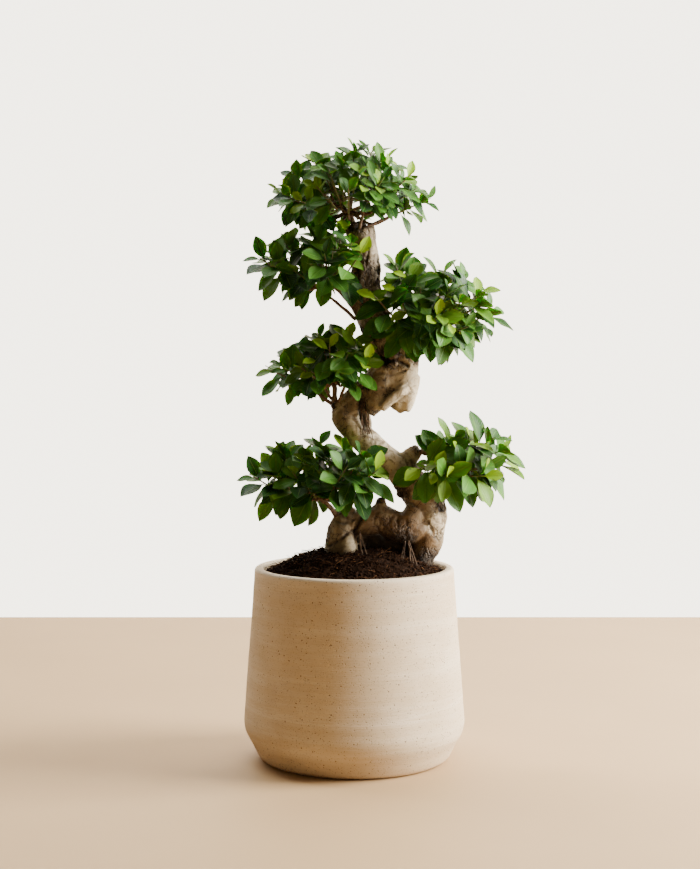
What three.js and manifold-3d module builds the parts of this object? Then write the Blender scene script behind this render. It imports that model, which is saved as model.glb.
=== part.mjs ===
// A ficus bonsai with a twice-bent trunk, planted in a tapered stoneware pot.
// Units are millimetres and +Z is up. The origin is the centre of the pot's underside,
// +X is the tree's right-hand side and +Y is its back.
//
// The tree is built from three kinds of piece:
//   limbs   thick wood that has grown together: roots, trunk and cut stubs, all one solid;
//   branches  one thin fork of twigs for each cloud of leaves;
//   shoots  a green stem with its whorl of leaves, several at the ends of each branch.
import * as THREE from "three";
import { mergeVertices } from "three/addons/utils/BufferGeometryUtils.js";
import Module from "manifold-3d";

const wasm = await Module();
wasm.setup();

// ---------------------------------------------------------------- driving dimensions

const GAP = 0.3; // clearance kept between neighbouring solids
const UP = new THREE.Vector3(0, 0, 1);
const LIGHT = new THREE.Vector3(0.35, -0.65, 0.67).normalize(); // leaves turn their faces this way

const POT = {
  height: 271,
  rimRadius: 140,
  bellyRadius: 155.5,
  bellyHeight: 56,
  footRadius: 121,
  wall: 13,
  floor: 16,
  lip: 5, // rounding of the rim's edges
  segments: 48,
};

const SOIL = {
  edgeHeight: 260, // where the soil meets the pot wall
  moundHeight: 38, // how far the middle stands above the edge
  unevenness: 2.2,
  segments: 28,
  rings: 5,
};

const TWIG = { rootRadius: 4.2, forkRadius: 2.6, endRadius: 1.7, sides: 5 };

const SHOOT = {
  radius: 1.5,
  internode: 4.4, // distance between leaves along the stem
  bareLength: 7, // stem below the lowest leaf
  lift: 0.3, // how strongly a shoot turns up
};

const LEAF = {
  halfWidth: 0.29, // of the length
  thickness: 0.9,
  widest: 0.58, // where the blade is widest, along its length
  droop: 0.16, // sag of the tip, of the length
  narrowAngle: 28, // between the youngest leaf and the stem, in degrees
  wideAngle: 98, // between the oldest leaf and the stem, in degrees
  turnToLight: 0.55, // how strongly a leaf turns its face to the light
  clearance: 2.8, // kept between one leaf and the next
};

// Limbs of the trunk. Each station is [x, y, z, radius].
const LIMBS = [
  // right foot, first bend to the left, second bend to the right, top cut
  {
    sides: 12,
    stations: [
      [84, 8, 240, 17], [92, 8, 287, 21], [101, 8, 313, 27], [102, 6, 338, 28], [97, 4, 362, 25],
      [79, 0, 391, 23], [57, -4, 413, 20], [30, -6, 437, 18.5], [5, -4, 459, 19.5], [-9, -1, 483, 22],
      [4, 3, 503, 21], [24, 5, 520, 22.5], [42, 5, 543, 25], [44, 2, 574, 26], [30, 0, 610, 23],
      [16, 2, 648, 24], [17, 3, 687, 20.5], [13, 0, 722, 18.5], [8, -2, 744, 20],
    ],
  },
  // swollen lobes that hang from the second bend
  {
    sides: 10,
    stations: [
      [58, -4, 602, 15], [69, -8, 577, 19], [69, -12, 547, 21], [64, -14, 520, 19],
      [62, -15, 502, 14], [67, -15, 489, 5],
    ],
  },
  { sides: 9, stations: [[48, -10, 548, 20], [38, -15, 524, 20], [29, -17, 502, 15], [22, -18, 486, 7]] },
  // the saddle of root between the two feet, and the healed peak on it
  {
    sides: 11,
    stations: [
      [92, 0, 328, 23], [68, -9, 326, 23], [36, -12, 339, 21], [12, -14, 334, 18], [-12, -12, 336, 17],
    ],
  },
  { sides: 8, stations: [[35, -12, 342, 15], [37, -12, 358, 10], [38, -11, 369, 5]] },
  // left foot, its front root, and the root that joins both feet at the back
  {
    sides: 11,
    stations: [
      [-24, -8, 240, 19], [-19, -12, 296, 24], [-15, -12, 324, 22], [-8, -10, 346, 15], [-5, -9, 357, 8],
    ],
  },
  { sides: 8, stations: [[0, -40, 250, 10], [-6, -34, 282, 13], [-10, -28, 303, 14], [-14, -20, 320, 12]] },
  { sides: 10, stations: [[-20, 14, 292, 24], [20, 28, 304, 25], [60, 28, 306, 25], [94, 18, 312, 22]] },
  // cut stubs: first bend's outer side and second bend's left shoulder
  { sides: 8, stations: [[70, -2, 418, 15], [84, -3, 430, 11], [91, -3, 437, 8]] },
  { sides: 7, stations: [[-14, -2, 492, 12], [-26, -3, 499, 7], [-29, -3, 501, 5]] },
];

// Thin roots that hang free under the saddle and in the fork of the second bend.
const HANGING_ROOTS = [
  [[72, -12, 322, 2.6], [70, -26, 305, 1.9], [66, -32, 280, 1.4], [65, -34, 262, 1.3]],
  [[72, -14, 320, 2.4], [77, -28, 303, 1.8], [82, -34, 282, 1.4], [84, -36, 262, 1.3]],
  [[10, -24, 330, 3.2], [8, -34, 308, 2.4], [14, -40, 286, 2.0], [20, -46, 262, 1.6]],
  [[22, -20, 505, 2.6], [16, -23, 486, 2.0], [20, -20, 464, 1.6], [24, -18, 446, 1.6]],
  [[14, -14, 508, 2.6], [10, -20, 490, 2.0], [13, -21, 470, 1.6], [17, -19, 450, 1.6]],
];

// Clouds of leaves. root is where the branch leaves the trunk, heart is where it forks,
// leaf is the length of a full-grown leaf, and each tip is the end of one shoot.
const CLOUDS = {
  crown: {
    root: [1, -3, 738], heart: [-8, -4, 768], leaf: 35, leaves: 11,
    tips: [
      [-104, -12, 792], [-84, 30, 806], [-72, -46, 778], [-56, 2, 838], [-34, -50, 818], [0, -16, 853],
      [46, 20, 842], [0, 48, 838], [-8, -74, 790], [38, -62, 806], [74, -34, 812], [102, -2, 784],
    ],
  },
  upper_left: {
    root: [4, -8, 628], heart: [-34, -20, 668], leaf: 43, leaves: 10,
    tips: [
      [-130, -14, 702], [-94, 26, 714], [-80, -46, 682], [-58, 8, 738], [-40, -62, 702], [-18, -36, 734],
      [8, -54, 706], [-56, 48, 692],
    ],
  },
  right_middle: {
    root: [66, -8, 584], heart: [92, -14, 606], leaf: 43, leaves: 10,
    tips: [
      [30, -60, 646], [58, -34, 688], [90, -54, 660], [124, 18, 682], [174, -24, 656], [194, 14, 630],
      [112, -66, 622], [152, -52, 606], [58, -54, 614],
    ],
  },
  left_middle: {
    root: [-27, -4, 503], heart: [-30, -6, 536], leaf: 38, leaves: 10,
    tips: [
      [-114, -10, 546], [-78, 28, 570], [-74, -42, 552], [-50, 6, 592], [-34, -56, 580], [-8, -38, 594],
      [16, -58, 560], [-56, -44, 544],
    ],
  },
  lower_left: {
    root: [-25, -16, 344], heart: [-50, -26, 372], leaf: 45, leaves: 10,
    tips: [
      [-138, -18, 398], [-102, 16, 426], [-82, -48, 404], [-50, -6, 442], [-12, -70, 414], [-14, -28, 438],
      [30, -56, 410], [-60, -54, 386],
    ],
  },
  lower_right: {
    root: [93, -6, 434], heart: [112, -12, 424], leaf: 47, leaves: 10,
    tips: [[92, -52, 414], [128, -62, 402], [140, -14, 450], [192, -20, 452], [212, 8, 418], [178, -46, 402]],
  },
};

// ---------------------------------------------------------------- materials

const finish = (color, roughness) => new THREE.MeshStandardMaterial({ color, roughness, metalness: 0 });
const STONEWARE = finish("#cdbfa6", 0.85);
const EARTH = finish("#33231a", 1.0);
const TRUNK_BARK = finish("#9c8a6b", 0.8);
const TWIG_BARK = finish("#5d4331", 0.8);
const FOLIAGE = finish("#3c6b22", 0.4);

// ---------------------------------------------------------------- solids

// A closed three.js geometry as a manifold-3d solid.
function solidOf(geometry) {
  const g = geometry.clone();
  g.deleteAttribute("normal");
  g.deleteAttribute("uv");
  const merged = mergeVertices(g, 1e-4);
  return new wasm.Manifold(
    new wasm.Mesh({
      numProp: 3,
      vertProperties: new Float32Array(merged.attributes.position.array),
      triVerts: new Uint32Array(merged.index.array),
    }),
  );
}

// A manifold-3d solid as a three.js geometry.
function geometryOf(solid) {
  const mesh = solid.getMesh();
  const g = new THREE.BufferGeometry();
  const position = new Float32Array(mesh.numVert * 3);
  for (let i = 0; i < mesh.numVert; i++)
    position.set(mesh.vertProperties.subarray(i * mesh.numProp, i * mesh.numProp + 3), i * 3);
  g.setAttribute("position", new THREE.BufferAttribute(position, 3));
  g.setIndex(new THREE.BufferAttribute(mesh.triVerts, 1));
  g.computeVertexNormals();
  return g;
}

const union = (solids) => solids.reduce((whole, next) => whole.add(next));

// One named piece, with a material of its own.
function node(name, geometry, material) {
  const mesh = new THREE.Mesh(geometry, material.clone());
  mesh.name = name;
  return mesh;
}

// The largest of the separate bodies in a solid.
const largestBody = (solid) => solid.decompose().sort((a, b) => b.volume() - a.volume())[0];

const fraction = (x) => x - Math.floor(x);
// A repeatable number from 0 to 1 for each whole seed.
const chance = (seed) => fraction(Math.sin(seed * 12.9898 + 4.1) * 43758.5453);
const mix = (a, b, t) => a + (b - a) * t;
const radians = THREE.MathUtils.degToRad;

// The smooth line through the stations of a limb: its points, radii and cross directions.
function routeOf(stations, stepsBetween) {
  const places = stations.map((s) => new THREE.Vector3(...s));
  const curve = new THREE.CatmullRomCurve3(places, false, "centripetal");
  const spans = stations.length - 1;
  const count = spans * stepsBetween;
  const rings = [];
  let across = new THREE.Vector3(0, 1, 0);
  for (let i = 0; i <= count; i++) {
    const t = i / count;
    const tangent = curve.getTangent(t);
    across = across.clone().addScaledVector(tangent, -across.dot(tangent)).normalize();
    const span = Math.min(Math.floor(t * spans), spans - 1);
    const radius = mix(stations[span][3], stations[span + 1][3], t * spans - span);
    const other = new THREE.Vector3().crossVectors(across, tangent);
    rings.push({ point: curve.getPoint(t), radius, across, other });
  }
  return rings;
}

// A limb is a unit cylinder whose rings are moved onto its route.
function limb(stations, sides, stepsBetween = 2, extra = 0) {
  const rings = routeOf(stations, stepsBetween);
  const steps = rings.length - 1;
  const g = new THREE.CylinderGeometry(1, 1, 1, sides, steps);
  const at = g.attributes.position;
  for (let i = 0; i < at.count; i++) {
    const ring = rings[Math.round((at.getY(i) + 0.5) * steps)];
    const p = ring.point.clone();
    p.addScaledVector(ring.across, at.getX(i) * (ring.radius + extra));
    p.addScaledVector(ring.other, at.getZ(i) * (ring.radius + extra));
    at.setXYZ(i, p.x, p.y, p.z);
  }
  return solidOf(g);
}

// ---------------------------------------------------------------- pot

function potOutline() {
  const { height, rimRadius, bellyRadius, bellyHeight, footRadius, wall, floor, lip } = POT;
  const outline = new THREE.Path();
  outline.moveTo(0, 0);
  outline.lineTo(footRadius, 0);
  outline.quadraticCurveTo(footRadius + 9, 0, footRadius + 15, 8);
  outline.lineTo(bellyRadius - 9, bellyHeight - 27);
  outline.quadraticCurveTo(bellyRadius + 0.5, bellyHeight - 14, bellyRadius, bellyHeight);
  outline.lineTo(rimRadius, height - lip);
  outline.quadraticCurveTo(rimRadius - 0.3, height, rimRadius - lip, height);
  outline.lineTo(rimRadius - wall + lip, height);
  outline.quadraticCurveTo(rimRadius - wall, height, rimRadius - wall, height - lip);
  outline.lineTo(bellyRadius - wall, bellyHeight + 2);
  outline.quadraticCurveTo(bellyRadius - wall, bellyHeight - 24, footRadius, floor);
  outline.lineTo(0, floor);
  return outline.getPoints(2);
}

const turned = (points, segments) => new THREE.LatheGeometry(points, segments).rotateX(Math.PI / 2);

// Inner radius of the pot at a height between its floor and its rim.
function potInnerRadius(z) {
  const { height, rimRadius, bellyRadius, bellyHeight, wall, lip } = POT;
  const t = (z - bellyHeight) / (height - lip - bellyHeight);
  return mix(bellyRadius, rimRadius, t) - wall;
}

// ---------------------------------------------------------------- soil

function soilHeight(x, y) {
  const distance = Math.hypot(x, y) / potInnerRadius(SOIL.edgeHeight);
  const mound = SOIL.moundHeight * Math.max(0, 1 - distance * distance);
  const ripple = Math.sin(x * 0.11 + 1.3) * Math.cos(y * 0.13 - 0.4) + 0.5 * Math.sin(x * 0.23 - y * 0.19);
  return SOIL.edgeHeight + mound + SOIL.unevenness * ripple * Math.max(0, 1 - distance ** 4);
}

function soilSolid(wood) {
  const bottom = POT.floor + GAP;
  const outline = [new THREE.Vector2(0, bottom), new THREE.Vector2(POT.footRadius - 14, bottom)];
  outline.push(new THREE.Vector2(POT.bellyRadius - POT.wall - GAP - 6, POT.bellyHeight - 4));
  outline.push(new THREE.Vector2(potInnerRadius(POT.bellyHeight + 14) - GAP - 0.4, POT.bellyHeight + 14));
  for (let i = 0; i <= SOIL.rings; i++) {
    const radius = (potInnerRadius(SOIL.edgeHeight) - GAP - 0.4) * (1 - i / SOIL.rings);
    outline.push(new THREE.Vector2(radius, SOIL.edgeHeight));
  }
  const g = turned(outline, SOIL.segments);
  const at = g.attributes.position;
  for (let i = 0; i < at.count; i++)
    if (at.getZ(i) > SOIL.edgeHeight - 1) at.setZ(i, soilHeight(at.getX(i), at.getY(i)));
  return solidOf(g).subtract(wood);
}

// ---------------------------------------------------------------- trunk

const woodSolid = (extra = 0) =>
  union([
    ...LIMBS.map(({ stations, sides }) => limb(stations, sides, 2, extra)),
    ...HANGING_ROOTS.map((stations) => limb(stations, 5, 1, extra)),
  ]);

// ---------------------------------------------------------------- branches and shoots

// Where each shoot of a cloud stands: its tip, its axis and the start of its green stem.
function shootsOf(name, cloud) {
  const heart = new THREE.Vector3(...cloud.heart);
  const stemLength = SHOOT.internode * (cloud.leaves - 1) + SHOOT.bareLength;
  return cloud.tips.map((place, i) => {
    const tip = new THREE.Vector3(...place);
    const axis = tip.clone().sub(heart).normalize().addScaledVector(UP, SHOOT.lift).normalize();
    const reach = Math.min(stemLength, tip.distanceTo(heart) * 0.72);
    const start = tip.clone().addScaledVector(axis, -reach);
    return {
      name: `${name}_shoot_${String(i + 1).padStart(2, "0")}`,
      tip,
      axis,
      start,
      reach,
      leaf: cloud.leaf,
      leaves: cloud.leaves,
      seed: i + 1 + 31 * name.length,
    };
  });
}

// The twig from a cloud's heart to the start of one shoot.
function twigStations(cloud, shoot) {
  const heart = new THREE.Vector3(...cloud.heart);
  const end = shoot.start.clone().addScaledVector(shoot.axis, -2 * GAP);
  const bend = end.clone().addScaledVector(shoot.axis, -0.5 * end.distanceTo(heart));
  return [
    [...heart.toArray(), TWIG.forkRadius],
    [...bend.toArray(), mix(TWIG.forkRadius, TWIG.endRadius, 0.5)],
    [...end.toArray(), TWIG.endRadius],
  ];
}

function mainTwigStations(cloud) {
  const root = new THREE.Vector3(...cloud.root);
  const heart = new THREE.Vector3(...cloud.heart);
  const bend = root.clone().lerp(heart, 0.55).add(new THREE.Vector3(1.5, -2, 1.5));
  return [
    [...root.toArray(), TWIG.rootRadius],
    [...bend.toArray(), mix(TWIG.rootRadius, TWIG.forkRadius, 0.5)],
    [...heart.toArray(), TWIG.forkRadius + 0.4],
  ];
}

// Two directions square to a stem and to each other.
function crossAxes(axis) {
  const side = new THREE.Vector3(0, 1, 0).cross(axis).normalize();
  return { side, front: new THREE.Vector3().crossVectors(axis, side) };
}

// One leaf as a frame: where it leaves the stem, its direction, face and side, and its length.
function leafFrame(shoot, k, turn, tilt) {
  const { side, front } = crossAxes(shoot.axis);
  const angle = k * radians(137.5) + shoot.seed + turn;
  const open = radians(mix(LEAF.narrowAngle, LEAF.wideAngle, Math.sqrt(k / (shoot.leaves - 1)))) + tilt;
  const radial = side.multiplyScalar(Math.cos(angle)).addScaledVector(front, Math.sin(angle));
  const along = shoot.axis.clone().multiplyScalar(Math.cos(open)).addScaledVector(radial, Math.sin(open));
  const face = shoot.axis.clone().multiplyScalar(Math.sin(open)).addScaledVector(radial, -Math.cos(open));
  face.addScaledVector(LIGHT, LEAF.turnToLight);
  face.addScaledVector(along, -LEAF.turnToLight * LIGHT.dot(along)).normalize();
  const spacing = (shoot.reach - SHOOT.bareLength) / (shoot.leaves - 1);
  const below = spacing * k + 2 * SHOOT.radius;
  const base = shoot.tip.clone().addScaledVector(shoot.axis, -below);
  const length = shoot.leaf * mix(0.62, 1, Math.min(1, k / 3)) * mix(0.86, 1.1, chance(shoot.seed * 17 + k));
  return { base, along, face, side: new THREE.Vector3().crossVectors(along, face), length, angle, below };
}

// A point of a leaf: u runs from base to tip, v from one edge (-1) to the other (1).
function leafPoint(leaf, u, v, below = 0) {
  const width = LEAF.halfWidth * leaf.length * leafBreadth(u);
  return leaf.base.clone()
    .addScaledVector(leaf.along, leaf.length * u)
    .addScaledVector(leaf.face, -LEAF.droop * leaf.length * u * u - below)
    .addScaledVector(leaf.side, width * v);
}

// Breadth of the blade along its length, from 0 to 1: a short stalk, then an egg-shaped blade.
function leafBreadth(u) {
  if (u < 0.12) return 0.09;
  const alongBlade = Math.min(1, (u - 0.06) / 0.94);
  return Math.sin(Math.PI * alongBlade ** 1.12) ** 0.72;
}

const SAMPLES = [];
for (let u = 0.16; u < 1; u += 0.08) {
  for (let v = -1; v < 1.1; v += 1 / 3) SAMPLES.push([u, v]);
}

const samplesOf = (leaf) => SAMPLES.map(([u, v]) => leafPoint(leaf, Math.min(u, 0.97), v));

// Whether a point lies inside another leaf's blade, or nearer to it than the clearance.
function nearLeaf(point, leaf) {
  const offset = point.clone().sub(leaf.base);
  const u = offset.dot(leaf.along) / leaf.length;
  if (u < -0.05 || u > 1.06) return false;
  const width = LEAF.halfWidth * leaf.length * leafBreadth(THREE.MathUtils.clamp(u, 0, 0.97));
  if (Math.abs(offset.dot(leaf.side)) > width + LEAF.clearance * 0.6) return false;
  return Math.abs(offset.dot(leaf.face) + LEAF.droop * leaf.length * u * u) < LEAF.clearance;
}

function nearWood(point, wood) {
  const closest = new THREE.Vector3();
  return wood.some(({ line, radius }) => {
    line.closestPointToPoint(point, true, closest);
    return closest.distanceTo(point) < radius + LEAF.clearance;
  });
}

// The straight pieces that stand for a round route when leaves keep clear of it.
function capsulesOf(stations, stepsBetween, owner) {
  const rings = routeOf(stations, stepsBetween);
  return rings.slice(1).map((ring, i) => ({
    line: new THREE.Line3(rings[i].point, ring.point),
    radius: Math.max(rings[i].radius, ring.radius),
    owner,
  }));
}

// Grows the leaves of every shoot in turn. A leaf that would touch its neighbours turns and tilts
// until it is clear.
function growLeaves(shoots, wood) {
  const grown = [];
  for (const shoot of shoots) {
    shoot.grown = [];
    const otherWood = wood.filter((w) => w.owner !== shoot.name && w.line.start.distanceTo(shoot.tip) < 130);
    const neighbours = grown.filter((g) => g.leaf.base.distanceTo(shoot.tip) < 130);
    for (let k = 0; k < shoot.leaves; k++)
      for (let attempt = 0; attempt < 11; attempt++) {
        const turn = radians(11 * Math.ceil(attempt / 2)) * (attempt % 2 ? 1 : -1);
        const leaf = leafFrame(shoot, k, turn, radians(4 * attempt) * (attempt % 3 ? 1 : -1));
        const points = samplesOf(leaf);
        const touches = ({ leaf: other, points: theirs }) =>
          other.base.distanceTo(leaf.base) < other.length + leaf.length &&
          (points.some((p) => nearLeaf(p, other)) || theirs.some((p) => nearLeaf(p, leaf)));
        if (points.some((p) => nearWood(p, otherWood))) continue;
        if (neighbours.some(touches) || shoot.grown.some(touches)) continue;
        if (points.some((p) => p.z < SOIL.edgeHeight + 22)) continue;
        shoot.grown.push({ leaf, points });
        break;
      }
    grown.push(...shoot.grown);
  }
}

// Two triangles across four corners, split so that the fold between them stands outwards.
function addQuad(points, faces, [a, b, c, d]) {
  const normal = points[b].clone().sub(points[a]).cross(points[d].clone().sub(points[a]));
  const foldsOut = normal.dot(points[c].clone().sub(points[a])) < 0;
  faces.push(...(foldsOut ? [a, b, d, b, c, d] : [a, b, c, a, c, d]));
}

// Grows one blade out of an open triangle of the stem. The triangle's corners are given bottom, right, left
// as seen from the leaf's tip, and the blade is thin with a keel under its midrib.
function growBlade(points, faces, leaf, rim) {
  const widest = points.length;
  points.push(
    leafPoint(leaf, LEAF.widest, 0, LEAF.thickness),
    leafPoint(leaf, LEAF.widest, -1),
    leafPoint(leaf, LEAF.widest, 1),
    leafPoint(leaf, 1, 0),
  );
  for (let i = 0; i < 3; i++) {
    const next = (i + 1) % 3;
    addQuad(points, faces, [rim[i], rim[next], widest + next, widest + i]);
    faces.push(widest + i, widest + next, widest + 3);
  }
}

// A shoot is a three-cornered stem, one level for each leaf. A level's first two upper corners stand either
// side of its leaf, and the triangle between them and the nearest lower corner is where the blade grows out.
function shootGeometry(shoot) {
  const leaves = shoot.grown.map((g) => g.leaf).reverse(); // the lowest first
  const levels = leaves.map((leaf) => ({ leaf, angle: leaf.angle, below: leaf.below - SHOOT.radius }));
  levels.unshift({ angle: leaves[0].angle, below: leaves[0].below + SHOOT.radius });
  const { side, front } = crossAxes(shoot.axis);
  const points = [];
  const faces = [];
  const addRing = (below, angle) => {
    const radius = SHOOT.radius * mix(0.6, 1, below / shoot.reach);
    for (const offset of [-60, 60, 180]) {
      const turn = angle + radians(offset);
      const corner = shoot.tip.clone().addScaledVector(shoot.axis, -below);
      corner.addScaledVector(side, radius * Math.cos(turn));
      points.push(corner.addScaledVector(front, radius * Math.sin(turn)));
    }
    return { first: points.length - 3, angle };
  };
  let lower = addRing(shoot.reach, leaves[0].angle);
  faces.push(2, 1, 0); // the stem's cut end
  for (const { leaf, angle, below } of levels) {
    const upper = addRing(below, angle);
    const shift = Math.round((angle - lower.angle) / radians(120) + 0.5);
    const l = [0, 1, 2].map((i) => lower.first + THREE.MathUtils.euclideanModulo(shift + i, 3));
    const u = [0, 1, 2].map((i) => upper.first + i);
    faces.push(l[0], l[1], u[1], l[1], u[2], u[1], l[1], l[2], u[2], l[2], u[0], u[2], l[2], l[0], u[0]);
    if (leaf) growBlade(points, faces, leaf, [l[0], u[1], u[0]]);
    else faces.push(l[0], u[1], u[0]);
    lower = upper;
  }
  faces.push(lower.first, lower.first + 1, lower.first + 2); // the bud
  const g = new THREE.BufferGeometry().setFromPoints(points);
  g.setIndex(faces);
  g.computeVertexNormals();
  return g;
}

// ---------------------------------------------------------------- the whole plant

const plant = new THREE.Group();
plant.add(node("pot", turned(potOutline(), POT.segments), STONEWARE));

const trunk = woodSolid();
const trunkWithGap = woodSolid(GAP);
plant.add(node("trunk", geometryOf(trunk), TRUNK_BARK));
plant.add(node("soil", geometryOf(largestBody(soilSolid(trunkWithGap))), EARTH));

const wood = [...LIMBS.map((l) => l.stations), ...HANGING_ROOTS].flatMap((s) => capsulesOf(s, 2, "trunk"));
const shoots = [];
for (const [name, cloud] of Object.entries(CLOUDS)) {
  const mine = shootsOf(name, cloud);
  shoots.push(...mine);
  wood.push(...capsulesOf(mainTwigStations(cloud), 2, name));
  for (const shoot of mine) {
    wood.push(...capsulesOf(twigStations(cloud, shoot), 2, name));
    wood.push({ line: new THREE.Line3(shoot.start, shoot.tip), radius: SHOOT.radius, owner: shoot.name });
  }
  const twigs = mine.map((shoot) => limb(twigStations(cloud, shoot), TWIG.sides, 1));
  const branch = union([limb(mainTwigStations(cloud), 7), ...twigs]).subtract(trunkWithGap);
  plant.add(node(`${name}_branch`, geometryOf(largestBody(branch)), TWIG_BARK));
}
growLeaves(shoots, wood);
for (const shoot of shoots) plant.add(node(shoot.name, shootGeometry(shoot), FOLIAGE));

export default plant;
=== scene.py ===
"""A ficus bonsai with a twice-bent trunk, planted in a tapered stoneware pot.

The trunk's limbs are swept tubes that are melted into one skin, then wrinkled, cracked and knotted.
Each cloud of leaves is one forked branch with leafy shoots at its ends. The shoots stand where those of the
solids stand, but they bear more leaves: side stems fill the front of a cloud, and further ones its back.
All positions are in millimetres until a mesh is made, which is in metres.
"""

import logging
import math
from dataclasses import dataclass, field
from enum import Enum
from typing import Any, Iterable, Sequence

import bpy
import numpy as np
from mathutils import Matrix, Vector, noise
from mathutils.kdtree import KDTree


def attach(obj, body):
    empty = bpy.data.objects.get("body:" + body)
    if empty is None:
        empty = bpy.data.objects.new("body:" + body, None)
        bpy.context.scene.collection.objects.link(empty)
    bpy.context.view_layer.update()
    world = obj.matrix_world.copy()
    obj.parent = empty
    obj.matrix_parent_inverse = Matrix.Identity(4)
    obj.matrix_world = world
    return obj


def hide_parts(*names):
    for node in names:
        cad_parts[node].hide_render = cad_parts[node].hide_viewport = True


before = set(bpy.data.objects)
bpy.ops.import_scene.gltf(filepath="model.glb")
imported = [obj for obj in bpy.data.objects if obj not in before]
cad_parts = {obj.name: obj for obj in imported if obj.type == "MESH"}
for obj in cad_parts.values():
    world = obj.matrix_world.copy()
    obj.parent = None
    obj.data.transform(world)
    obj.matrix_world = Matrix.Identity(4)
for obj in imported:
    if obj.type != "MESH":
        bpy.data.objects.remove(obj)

LOG = logging.getLogger("bonsai")
MM = 0.001
GAP = 0.3
UP = np.array([0.0, 0.0, 1.0])
SOIL_LINE = 286.0
GOLDEN_ANGLE = math.radians(137.5)

Object = bpy.types.Object
Material = bpy.types.Material
Socket = bpy.types.NodeSocket
Flat = tuple[float, float]
Point = tuple[float, float, float]
Colour = tuple[float, float, float]
# A place on a limb, and the limb's radius there.
Station = tuple[float, float, float, float]


# ---- small helpers


def chance(seed: float) -> float:
    """A repeatable number from 0 to 1 for each seed."""
    value = math.sin(seed * 12.9898 + 4.1) * 43758.5453
    return value - math.floor(value)


def mix(a: float, b: float, t: float) -> float:
    """The value a share t of the way from a to b."""
    return a + (b - a) * t


def unit(v: np.ndarray) -> np.ndarray:
    """The same direction, one long."""
    return v / np.linalg.norm(v)


def smoothstep(low: float, high: float, value: np.ndarray) -> np.ndarray:
    """0 below low, 1 above high, and an even curve between them."""
    t = np.clip((value - low) / (high - low), 0.0, 1.0)
    return t * t * (3 - 2 * t)


def wobble(place: Vector) -> np.ndarray:
    """A repeatable shift from place to place, at most one each way."""
    return np.array([noise.noise(place + Vector((31.4, 17.2, 5.3)) * i) for i in range(3)])


def mesh_object(
    name: str, points: np.ndarray, faces: Sequence[Sequence[int]], edges: Sequence = ()
) -> Object:
    """Makes an object from points in millimetres.

    Args:
        name: The object's name.
        points: One row of x, y, z for each point, in millimetres.
        faces: The corners of each face.
        edges: Loose edges, where there are any.

    Returns:
        The new object, linked to the scene.
    """
    mesh = bpy.data.meshes.new(name)
    places = (np.asarray(points, float) * MM).tolist()
    mesh.from_pydata(places, [tuple(e) for e in edges], [tuple(f) for f in faces])
    mesh.update()
    obj = bpy.data.objects.new(name, mesh)
    bpy.context.collection.objects.link(obj)
    return obj


def add_values(obj: Object, name: str, values: Iterable[float], kind: str = "FLOAT") -> None:
    """Stores one value for each point of an object's mesh."""
    layer = obj.data.attributes.new(name, kind, "POINT")
    flat = np.asarray(list(values), float).ravel()
    layer.data.foreach_set("vector" if kind == "FLOAT_VECTOR" else "value", flat)


def freeze(obj: Object) -> None:
    """Puts the mesh that an object's modifiers make in place of its own, and removes them.

    Args:
        obj: The object, with its modifiers set.
    """
    graph = bpy.context.evaluated_depsgraph_get()
    mesh = bpy.data.meshes.new_from_object(obj.evaluated_get(graph), depsgraph=graph)
    obj.modifiers.clear()
    old, obj.data = obj.data, mesh
    bpy.data.meshes.remove(old)


def settle(obj: Object, material: Material | None = None, smooth: bool = True) -> Object:
    """Turns an object's modifiers into plain mesh, and dresses it.

    Args:
        obj: The object to finish.
        material: Its finish, or None where the mesh already carries one.
        smooth: Whether its faces are shaded as one curved surface.

    Returns:
        The same object, without modifiers.
    """
    if obj.modifiers:
        freeze(obj)
    if material is not None:
        obj.data.materials.clear()
        obj.data.materials.append(material)
    obj.data.polygons.foreach_set("use_smooth", [smooth] * len(obj.data.polygons))
    obj.data.update()
    return obj


def discard(obj: Object) -> None:
    """Removes a pattern object that has done its work."""
    mesh = obj.data
    bpy.data.objects.remove(obj)
    bpy.data.meshes.remove(mesh)


class Wiring:
    """A node tree under construction, with short ways to add and join its nodes."""

    def __init__(self, tree: bpy.types.NodeTree) -> None:
        """Starts on an existing tree."""
        self.tree = tree

    def add(self, kind: str, feeds: dict[str | int, Any] | None = None, **settings: Any) -> bpy.types.Node:
        """Adds one node.

        Args:
            kind: The node's type.
            feeds: For each input, by name or number, a constant or another node's output.
            settings: The node's own options.

        Returns:
            The new node.
        """
        node = self.tree.nodes.new(kind)
        for name, value in settings.items():
            setattr(node, name, value)
        for name, value in (feeds or {}).items():
            socket = node.inputs[name]
            if isinstance(value, Socket):
                self.tree.links.new(value, socket)
            else:
                socket.default_value = value
        return node


# ---- finishes


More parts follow.
